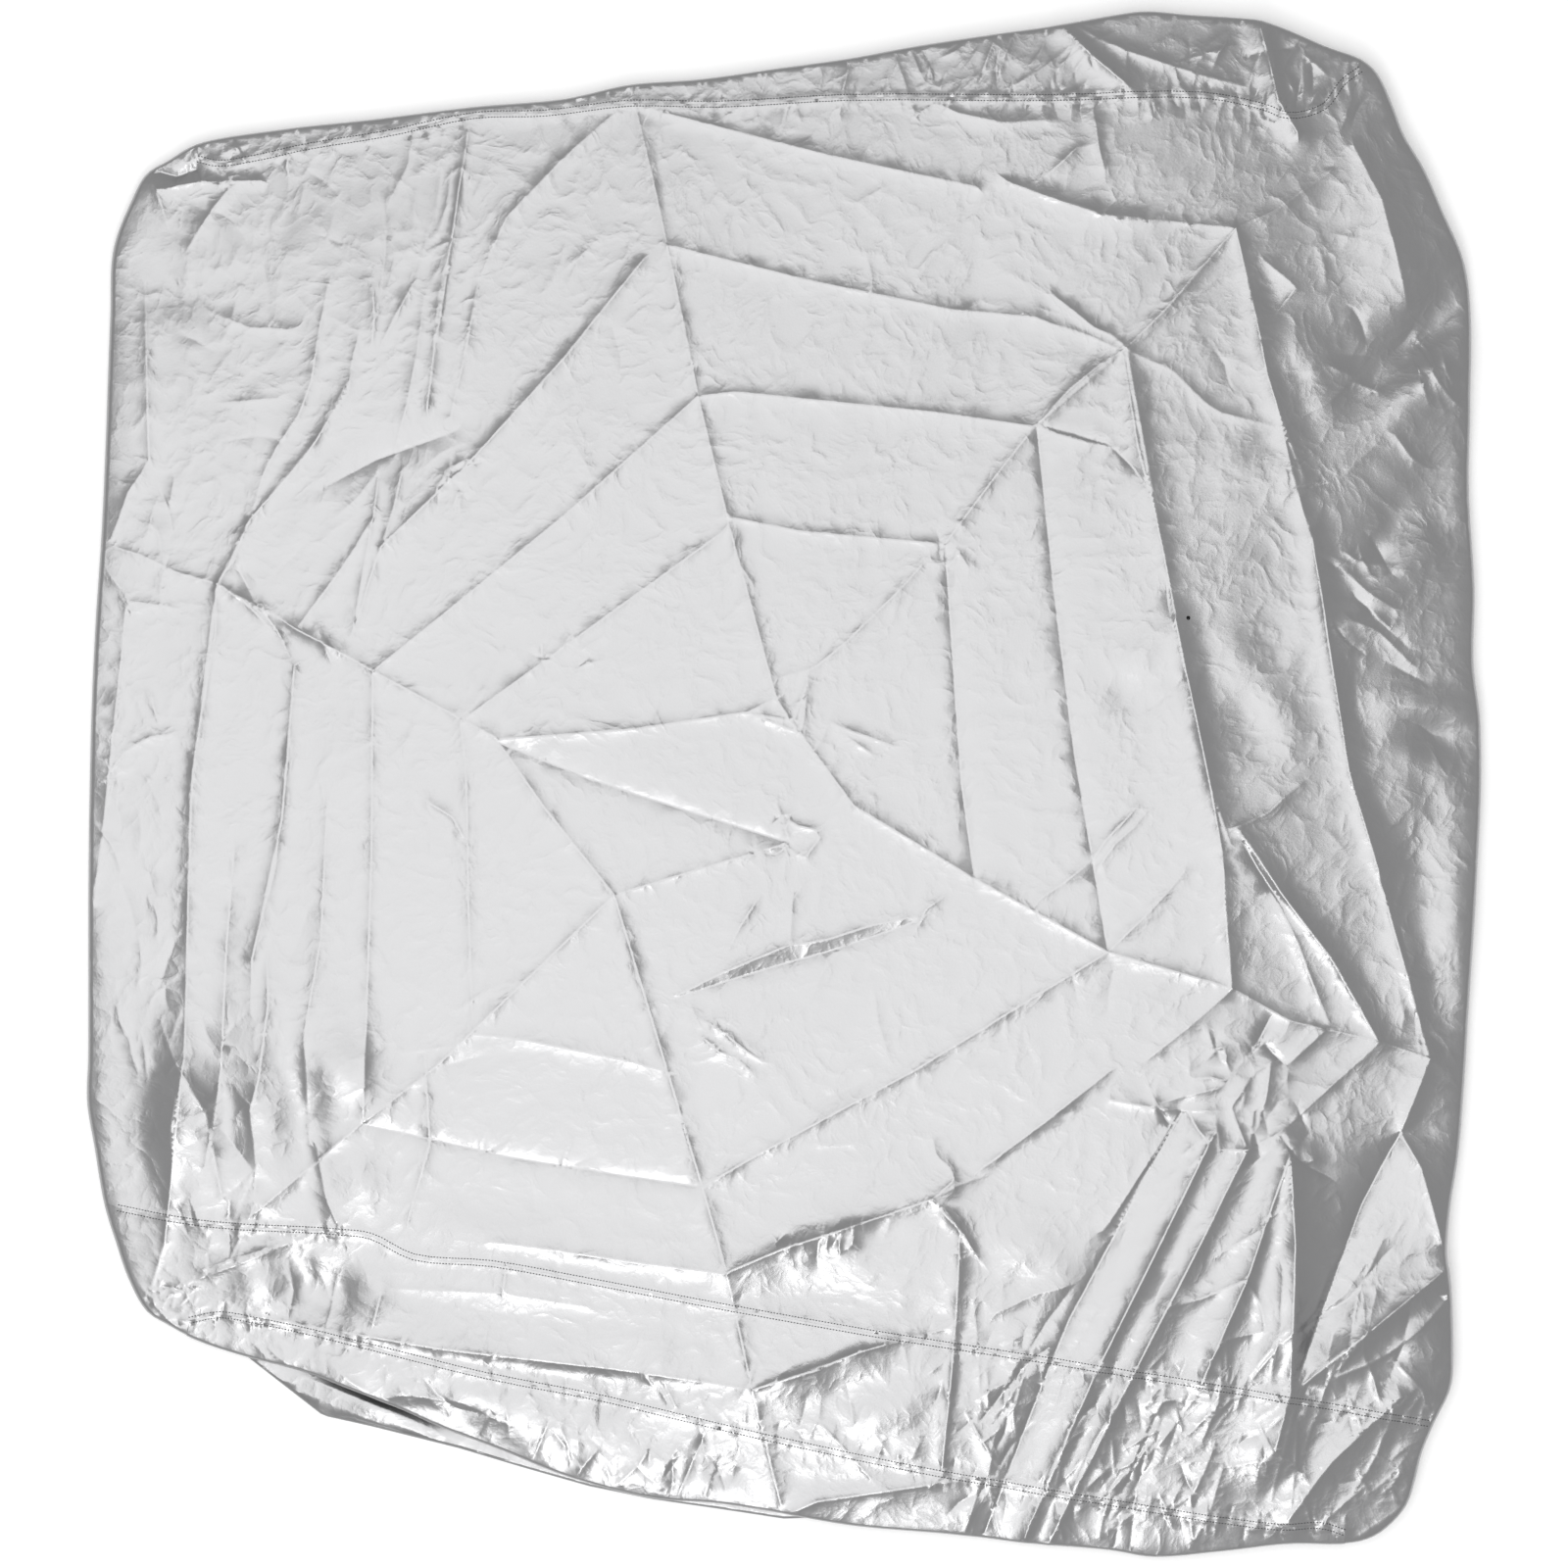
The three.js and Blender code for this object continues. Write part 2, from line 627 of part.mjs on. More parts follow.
function joinStrip() {
  const right = edgeStations("frontRight", "joinRight");
  const left = edgeStations("joinLeft", "frontLeft");
  const rightInset = right.map((station) => station.inset);
  const leftInset = left.map((station) => station.inset);
  const lower = seamBetween(frontSeam, leftInset.at(-1), rightInset[0], 1);
  const upper = seamBetween(joinSeam, leftInset[0], rightInset.at(-1), -1).reverse();
  const cloth = new Cloth();
  const index = coverField(cloth, [...lower, ...rightInset, ...upper, ...leftInset]);
  const rightRow = index.slice(lower.length, lower.length + right.length);
  const leftRow = index.slice(index.length - left.length);
  sideWall(cloth, rightRow, right, rightHem.x, rightHem.front, rightHem.join);
  sideWall(cloth, leftRow, left, leftHem.x, leftHem.join, leftHem.front);
  return cloth.solid();
}

function backWall() {
  const back = edgeStations("backRight", "backLeft");
  const inset = back.map((station) => station.inset);
  const lower = seamBetween(backSeam, inset.at(-1), inset[0], 1);
  const cloth = new Cloth();
  const index = coverField(cloth, [...lower, ...inset]);
  const row = index.slice(lower.length);
  const tops = back.map((station) => lift(station.inset));
  const lows = back.map((station) => tuckHeight(station.inset.x, station.inset.y, -1));
  const last = rollUnder(cloth, row, back, tops, lows);
  tuckUnder(cloth, last, inset, -1);
  return cloth.solid();
}

// Height of the lower layer's front edge along Y, at a place across the cover.
function peekEdge(x) {
  const after = frontPeek.findIndex(([placeX]) => placeX >= x);
  if (after <= 0) return frontPeek.at(after)[1];
  const [[fromX, fromY], [toX, toY]] = [frontPeek[after - 1], frontPeek[after]];
  return fromY + ((toY - fromY) * (x - fromX)) / (toX - fromX);
}

function frontWall() {
  const front = edgeStations("frontLeft", "frontRight");
  const inset = front.map((station) => station.inset);
  const upper = seamBetween(frontSeam, inset[0], inset.at(-1), -1).reverse();
  const cloth = new Cloth();
  const index = coverField(cloth, [...inset, ...upper]);
  const tops = front.map((station) => lift(station.inset));
  const level = (height) => front.map(() => height);
  let last = rollUnder(cloth, index.slice(0, front.length), front, tops, level(pleatHighLayer));

  // Back in under the upper layer, and out again to the edge of the lower one.
  const stretch = inset.at(-1).x - inset[0].x;
  const depths = inset.map((point) => {
    const fromEnd = Math.min(point.x - inset[0].x, stretch - (point.x - inset[0].x));
    return pleatDepth * Math.min(1, pleatEndShare + ((1 - pleatEndShare) * fromEnd) / pleatTaper);
  });
  const inner = inset.map((point, i) => new THREE.Vector2(point.x, point.y + depths[i]));
  last = cloth.strip(last, inner.map((point) => cloth.add(point.x, point.y, pleatHighLayer, down)));
  const turnMiddle = (pleatHighLayer + pleatLowLayer) / 2;
  const turnHeight = (pleatHighLayer - pleatLowLayer) / 2;
  for (let step = 1; step <= pleatTurnSteps; step += 1) {
    const angle = Math.PI * (0.5 - step / pleatTurnSteps);
    const height = turnMiddle + turnHeight * Math.sin(angle);
    const facing = new THREE.Vector3(0, -Math.cos(angle), -Math.sin(angle));
    last = cloth.strip(last, inner.map((point) => cloth.add(
      point.x,
      point.y + pleatTurn * Math.cos(angle),
      height,
      facing,
    )));
  }
  const forward = new THREE.Vector2(0, -1);
  const lower = inset.map((point) => {
    const edge = new THREE.Vector2(point.x, peekEdge(point.x));
    return { edge, out: forward, inset: new THREE.Vector2(point.x, edge.y + pleatTurn) };
  });
  last = cloth.strip(last, lower.map((place) => cloth.add(place.inset.x, place.inset.y, pleatLowLayer, up)));
  const lows = lower.map((place) => tuckHeight(place.inset.x, place.inset.y, 1));
  last = rollUnder(cloth, last, lower, level(pleatLowLayer), lows, pleatTurn);
  tuckUnder(cloth, last, lower.map((place) => place.inset), 1);
  return cloth.solid();
}

function silverCloth(color) {
  return new THREE.MeshStandardMaterial({ color, roughness: 0.42, metalness: 0.6 });
}

function addPiece(group, name, geometry, color) {
  const mesh = new THREE.Mesh(geometry, silverCloth(color));
  mesh.name = name;
  group.add(mesh);
}

const cover = new THREE.Group();
addPiece(cover, "main_panel", mainPanel(), 0xc9cbcc);
addPiece(cover, "join_strip", joinStrip(), 0xcdcfd0);
addPiece(cover, "front_wall", frontWall(), 0xc6c8c9);
addPiece(cover, "back_wall", backWall(), 0xc4c6c8);

export default cover;
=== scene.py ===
"""A patio table cover of silver-coated cloth, laid flat and empty on a pale floor.

The camera looks straight down on it. The tables are in millimetres, in the part's own frame: X across
the cover, -Y its front, Z up.
"""

import math
from collections import namedtuple

import bpy
import numpy as np
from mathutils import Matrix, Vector
from mathutils.geometry import delaunay_2d_cdt
from mathutils.kdtree import KDTree


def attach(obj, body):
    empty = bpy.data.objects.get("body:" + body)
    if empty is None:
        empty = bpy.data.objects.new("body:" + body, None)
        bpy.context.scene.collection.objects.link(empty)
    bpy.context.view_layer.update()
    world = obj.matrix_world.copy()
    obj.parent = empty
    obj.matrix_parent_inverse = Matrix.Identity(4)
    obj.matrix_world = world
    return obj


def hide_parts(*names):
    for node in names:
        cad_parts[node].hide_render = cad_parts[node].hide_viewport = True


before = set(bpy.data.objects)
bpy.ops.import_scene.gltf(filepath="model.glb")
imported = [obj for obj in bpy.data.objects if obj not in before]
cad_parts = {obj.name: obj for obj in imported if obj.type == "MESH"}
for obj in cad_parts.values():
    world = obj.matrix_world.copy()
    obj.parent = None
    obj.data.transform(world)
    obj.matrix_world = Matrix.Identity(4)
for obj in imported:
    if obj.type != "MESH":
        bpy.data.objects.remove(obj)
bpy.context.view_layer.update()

METRES = 0.001
UP = np.array([0.0, 0.0, 1.0])
DOWN = -UP
rng = np.random.default_rng(7)

# Cloth and layers
CLOTH_THICKNESS = 0.3
FLOOR_LAYER = 0.75
TUCKED_LAYER = 2.75
PLEAT_LOW_LAYER = 5.5
PLEAT_HIGH_LAYER = 9.5
RESTING_LIFT = 18
LOWEST_LIFT = 11.6

# Folds: the small ones are lower and sharper. Where folds meet, their heights merge.
SMALL_FOLD = 3.4
SMALL_SHARE = 0.6
SMALL_SHARPNESS = 3.0
FOLD_SHARPNESS = 1.9
MEETING_POWER = 3
CREASE_END_SHARE = 0.3
CREASE_END_HEIGHT = 0.12
SOFT_END_SHARE = 0.4
SOFT_END_HEIGHT = 0.2
SOFT_REACH = 2.5

# The crisp line along each crease, which wavers.
CRISP_HALF = 1.3
CRISP_RISE = 0.48
CRISP_WAVES = (9, 23)
CRISP_WAVER = 0.3

# The rim, where the upper layer sinks a little, except at the back.
RIM_DROP = 2.6
RIM_REACH = 20
RIM_BACK = 560
RIM_FADE = 60
RIM_WAVES = (61, 37)
RIM_WAVER = 0.4

# Rolled edges
TIGHT_ROLL = 3
SIDE_ROLL_EXTRA = 3
ROLL_STEPS = 8

# Walls under the cover
HEM_GAP = 40
HEM_WIDTH = 18
HEM_TURN = 0.6
HEM_RISE = 0.75
SIDE_WALL_SHARES = (0.04, 0.1, 0.25, 0.45, 0.7, 0.9, 1.0)
WALL_TUCK = 520
TUCK_SHARES = (0.35, 0.6, 0.8, 1.0)
RAMP_LENGTH = 10
RAMP_MARGIN = 4

# The pleat of the front wall, and the gap that it opens at the left.
PLEAT_DEPTH = 60
PLEAT_TAPER = 120
PLEAT_END_SHARE = 0.15
PLEAT_TURN = 3
GAP_MIDDLE = -376
GAP_HALF = 46
GAP_LIFT = 6.5
# Rows of the lower layer: how far in front of the upper layer's edge, and the share of the gap's lift.
PEEK_ROWS = ((-20, 0.0), (-1, -0.2), (2.5, -0.25), (6, 0.9), (9, 1.0), (15, 0.8), (22, 0.9), (30, 0.6))
PEEK_FIRST = -20
PEEK_SPAN = 51
PEEK_APART = 0.3
RIPPLE_START = 5
RIPPLE = 0.5

# Seams: a flat felled band under two rows of stitches, with a hair's breadth between the pieces.
SEAM_GAP = 0.08
BAND_HALF = 4.2
BAND_FOOT = 6.2
BAND_RISE = 0.35
SEAM_STEP = 4
SEAM_CLEARANCE = 8.5
STITCH_ROWS_APART = 5.5
STITCH_PITCH = 2.8
STITCH_SIDES = 6
STITCH_SPREAD = 1.2
STITCH_LIFT = 0.1
# Rings along a stitch: place, radius and rise.
STITCH_RINGS = ((-1.0, 0.16, -0.3), (-0.6, 0.36, 0.0), (0.6, 0.36, 0.0), (1.0, 0.16, -0.3))

# Spacing of the surface points
EDGE_STEP = 7
CREASE_STEP = 5
FIELD_STEP = 10.5
NARROW_STEP = 5.0
FIELD_STRAY = 0.12
FIELD_CLEARANCE = 0.55
SEAM_ROW_CLEARANCE = 0.8
CREASE_CLEARANCE = 1.4
FLANK_CLEARANCE = 1.1
EDGE_CURVE_PIECES = 24
SEAM_CURVE_PIECES = 4
TANGENT_REACH = 2

# A pinhole through the top.
PINHOLE = (370, 152)
PINHOLE_RADIUS = 1.9
PINHOLE_POINTS = 12
PINHOLE_CLEARANCE = 0.5
PINHOLE_MARGIN = 0.1
PINHOLE_INSIDE = 0.96

# How much the random crinkles and puckers vary.
CRINKLE_HALF_LENGTHS = (0.3, 0.7)
CRINKLE_BOWS = (-0.2, 0.2)
CRINKLE_WIDTHS = (0.6, 1.5)
CRINKLE_RISES = (0.25, 0.8)
CRINKLE_OTHER_SIDES = (0.7, 1.5)
PUCKER_LEANS = (-0.5, 0.5)
PUCKER_REACHES = (0.4, 1.4)
PUCKER_SHIFTS = (-0.4, 0.4)
PUCKER_RISES = (0.4, 1.2)
PUCKER_WIDTHS = (2, 4)

# The coated cloth. Depths are in metres.
SILVER_TINT = 0.37
SILVER_BLUE = 1.012
METALLIC = 0.83
ROUGHNESS = 0.3
CRUMPLE_BUMP = 0.34
CRUMPLE_DEPTH = 0.004
CRUMPLE_SCALE = 11
WRINKLE_BUMP = 0.38
WRINKLE_DEPTH = 0.001
WRINKLE_SCALE = 34
GRAIN_BUMP = 0.12
GRAIN_DEPTH = 0.0006
GRAIN_SCALE = 450
BEND_SCALE = 9
BEND_REACH = 0.07
RIDGE_OFFSET = 0.85
RIDGE_GAIN = 2.0
# Where the crumples grow: axis, start, end and the most, from the least elsewhere.
CRUMPLE_LEAST = 0.06
FRONT_CRUMPLES = ("Y", -0.38, -0.54, 0.6)
RIGHT_CRUMPLES = ("X", 0.36, 0.56, 0.2)
LEFT_CRUMPLES = ("X", -0.3, -0.5, 0.22)

# Thread and floor
THREAD_COLOUR = (0.07, 0.07, 0.075)
THREAD_ROUGHNESS = 0.7
FLOOR_COLOUR = (0.97, 0.97, 0.97)
FLOOR_ROUGHNESS = 0.9
FLOOR_GLOW = 0.14
FLOOR_SIZE = 14
FLOOR_DROP = 0.0005

# Studio, in metres and watts
Light = namedtuple("Light", "name place size power")
LIGHTS = (
    Light("key light", (-0.3, -1.95, 2.9), 1.0, 16),
    Light("top light", (-0.43, -0.2, 3.0), 2.95, 50),
)
WORLD_STRENGTH = 0.54
CAMERA_HEIGHT = 4.0
FRAME_WIDTH = 1.44
SENSOR_WIDTH = 36

# The edge of the upper layer, anticlockwise from the left end of the joining seam.
COVER_OUTLINE = (
    (-625, -387), (-615, -420), (-603, -455), (-586, -485), (-567, -497), (-549, -507),
    (-530, -515), (-495, -526), (-440, -540), (-410, -551), (-350, -575), (-320, -589), (-260, -612),
    (-200, -636), (-122, -656), (-60, -661), (-2, -670), (60, -681), (150, -689), (220, -697),
    (300, -704), (338, -710), (400, -705), (463, -698), (515, -698),
    (536, -694), (552, -685), (572, -663), (580, -640), (586, -615), (597, -588),
    (613, -553), (615, -520), (613, -460), (609, -430), (612, -390), (620, -340), (626, -265),
    (630, -200), (635, -120), (639, -50), (641, 0), (640, 60), (634, 110), (635, 180), (630, 265),
    (631, 350), (628, 470), (604, 530),
    (588, 566), (570, 596), (560, 622), (551, 643), (543, 656), (530, 666),
    (500, 677), (455, 696), (433, 702), (370, 707), (331, 710), (300, 706), (250, 697), (200, 690),
    (120, 678), (60, 667), (-5, 658), (-78, 648), (-142, 643), (-203, 630), (-283, 623), (-380, 611),
    (-462, 602), (-541, 588),
    (-567, 573), (-586, 562), (-601, 535), (-617, 492), (-620, 430), (-624, 320), (-628, 230),
    (-634, 140), (-638, 40), (-640, -100), (-640, -250), (-641, -292), (-634, -335),
)
SEAM_ENDS = {
    "join left": (-625, -387),
    "front left": (-549, -507),
    "front right": (515, -698),
    "join right": (597, -588),
    "back right": (530, 666),
    "back left": (-541, 588),
}
BACK_SEAM_PLACES = (
    (-538, 574), (-520, 570), (-480, 576), (-440, 585), (-366, 597), (-284, 614), (-220, 616),
    (-142, 625), (-60, 624), (60, 630), (240, 629), (385, 631), (440, 620), (461, 612), (495, 621),
    (512, 643), (528, 655),
)
JOIN_SEAM_PLACES = (
    (-611, -389), (-565, -398), (-511, -405), (-408, -411), (-379, -415), (-340, -434), (-268, -440),
    (-175, -457), (-49, -481), (77, -503), (225, -526), (382, -550), (541, -577), (590, -586),
)
FRONT_SEAM_PLACES = (
    (-545, -492), (-518, -487), (-480, -493), (-404, -510), (-270, -543), (-175, -562), (-17, -599),
    (125, -629), (301, -659), (382, -672), (453, -681), (493, -680), (513, -686),
)
# The lower layer of the front wall, which shows past the upper one at the front left.
FRONT_PEEK = (
    (-549, -503), (-530, -512), (-497, -526), (-425, -582), (-380, -592), (-300, -612), (-240, -630),
    (-180, -647), (-122, -659), (-60, -668), (0, -677), (60, -675), (150, -683), (220, -690),
    (300, -697), (338, -702), (400, -698), (463, -691), (515, -691),
)

# Creases. rise is the height at the crease, below 0 in a trough. left and right are the widths over
# which it fades, on either hand of someone who walks along the line.
Crease = namedtuple("Crease", "rise left right line")


def creases(*rows):
    """Creases from rows of a rise, two widths and the places along a line."""
    return tuple(Crease(rise, left, right, line) for rise, left, right, *line in rows)


# The main folds of the upper layer.
FOLDS = creases(
    # centre line
    (1.2, 40, 40, (-142, 644), (-120, 553), (-98, 450), (-79, 356)),
    (1.2, 30, 30, (-79, 356), (-50, 236), (-7, 78), (16, 45), (64, -20)),
    (2, 35, 35, (64, -20), (175, -87), (297, -154), (410, -187)),
    (2, 30, 25, (410, -187), (463, -217), (545, -236), (592, -252)),
    # long diagonals
    (1.2, 30, 30, (-79, 356), (-200, 248), (-320, 150), (-376, 105)),
    (2.3, 30, 25, (-128, 483), (-205, 388), (-285, 300), (-370, 218)),
    (1.2, 25, 25, (-50, 236), (-158, 158), (-235, 102), (-292, 61)),
    (1.5, 30, 30, (-521, 184), (-448, 142), (-378, 104), (-262, 41)),
    (1.5, 30, 30, (-156, -102), (-320, -260), (-388, -312), (-488, -396)),
    (2, 35, 30, (297, -154), (120, -263), (-27, -342), (-75, -370)),
    # cross folds
    (2, 30, 35, (-79, 356), (-45, 360), (140, 341), (228, 328)),
    (1.2, 20, 20, (-50, 245), (15, 232), (148, 220)),
    (1.5, 30, 25, (-262, 41), (-140, 50), (-33, 66), (-6, 79)),
    (-1.4, 25, 30, (-262, 38), (-180, 5), (-100, -21), (5, -54)),
    (1.2, 25, 25, (-156, -102), (-80, -79), (5, -54)),
    (-1.4, 30, 20, (-386, -312), (-250, -343), (-145, -360), (-76, -370)),
    (1.2, 22, 22, (-108, 495), (20, 463), (150, 436), (230, 428)),
    (1.2, 22, 22, (-125, 620), (40, 577), (178, 547)),
    (1.5, 25, 22, (205, 552), (290, 522), (414, 509)),
    # short diagonals
    (1.5, 30, 22, (148, 221), (200, 290), (230, 328), (314, 400)),
    (2, 30, 25, (314, 400), (350, 435), (414, 509)),
    (1.2, 25, 25, (-262, 38), (-220, -22), (-156, -102)),
    (1.2, 20, 20, (-378, 243), (-405, 200), (-448, 142)),
    (1.2, 25, 20, (-400, 370), (-430, 315), (-491, 242), (-521, 184)),
    (2, 25, 25, (424, -335), (453, -320), (545, -237)),
    # right ridges
    (3, 50, 60, (314, 400), (350, 200), (391, -9), (402, -65), (410, -187)),
    (3.5, 30, 60, (358, 150), (372, 85), (391, -9), (400, -60)),
    (3.2, 40, 60, (414, 509), (441, 386), (492, 180), (517, 13), (562, -144), (592, -252)),
    (3.8, 24, 60, (484, 225), (498, 130), (517, 13), (545, -80)),
    (3.5, 26, 50, (415, -42), (455, -100), (500, -158), (545, -236)),
    (6, 40, 50, (592, -252), (565, -320), (583, -350), (603, -420)),
    # upright folds
    (-1.4, 30, 25, (148, 221), (156, 100), (163, 0), (175, -87)),
    (-1.2, 30, 20, (232, 328), (248, 175), (266, 30), (297, -154)),
    (1.2, 25, 25, (-378, 104), (-379, -60), (-386, -310)),
    (1.2, 25, 25, (-450, 108), (-461, -30), (-488, -160)),
    (1.2, 25, 20, (-521, 184), (-546, -10), (-549, -250), (-568, -420)),
    (1.0, 18, 18, (-290, 600), (-298, 550), (-328, 345)),
    # lower centre line and front ridges
    (2.2, 25, 25, (-156, -102), (-96, -300), (-75, -370), (-52, -450)),
    (2.2, 25, 25, (-52, -450), (-30, -553), (-3, -660)),
    (3.5, 45, 50, (-52, -448), (0, -426), (55, -408), (136, -381)),
    (3.5, 40, 45, (-28, -555), (70, -520), (150, -499)),
    (3.5, 22, 26, (8, -668), (30, -658), (90, -649), (150, -640)),
    # front pleats
    (2.4, 30, 30, (136, -381), (162, -412), (152, -560), (144, -640)),
    (-3.6, 24, 26, (364, -301), (262, -490), (233, -560), (184, -688)),
    (3.5, 24, 26, (393, -322), (330, -450), (285, -540), (219, -696)),
    (3.8, 26, 28, (424, -335), (392, -400), (340, -500), (242, -698)),
    (4.5, 32, 32, (462, -340), (424, -452), (382, -548)),
    (9, 40, 50, (463, -340), (467, -420), (463, -557), (449, -609)),
    (-6, 60, 50, (565, -320), (530, -385), (503, -455), (470, -545)),
    (5, 34, 34, (465, -558), (540, -497), (608, -443)),
    (4.5, 30, 34, (563, -562), (500, -622), (463, -673)),
    (-1.9, 9, 9, (340, -580), (312, -645), (303, -700)),
    # back pleats
    (3.5, 22, 22, (256, 692), (285, 665), (315, 640)),
    (5, 22, 25, (436, 696), (452, 628), (470, 597)),
    (1.6, 6, 8, (-575, 546), (-535, 553), (-480, 554)),
    (-3.5, 12, 12, (-592, 556), (-575, 563), (-558, 558), (-540, 565)),
)

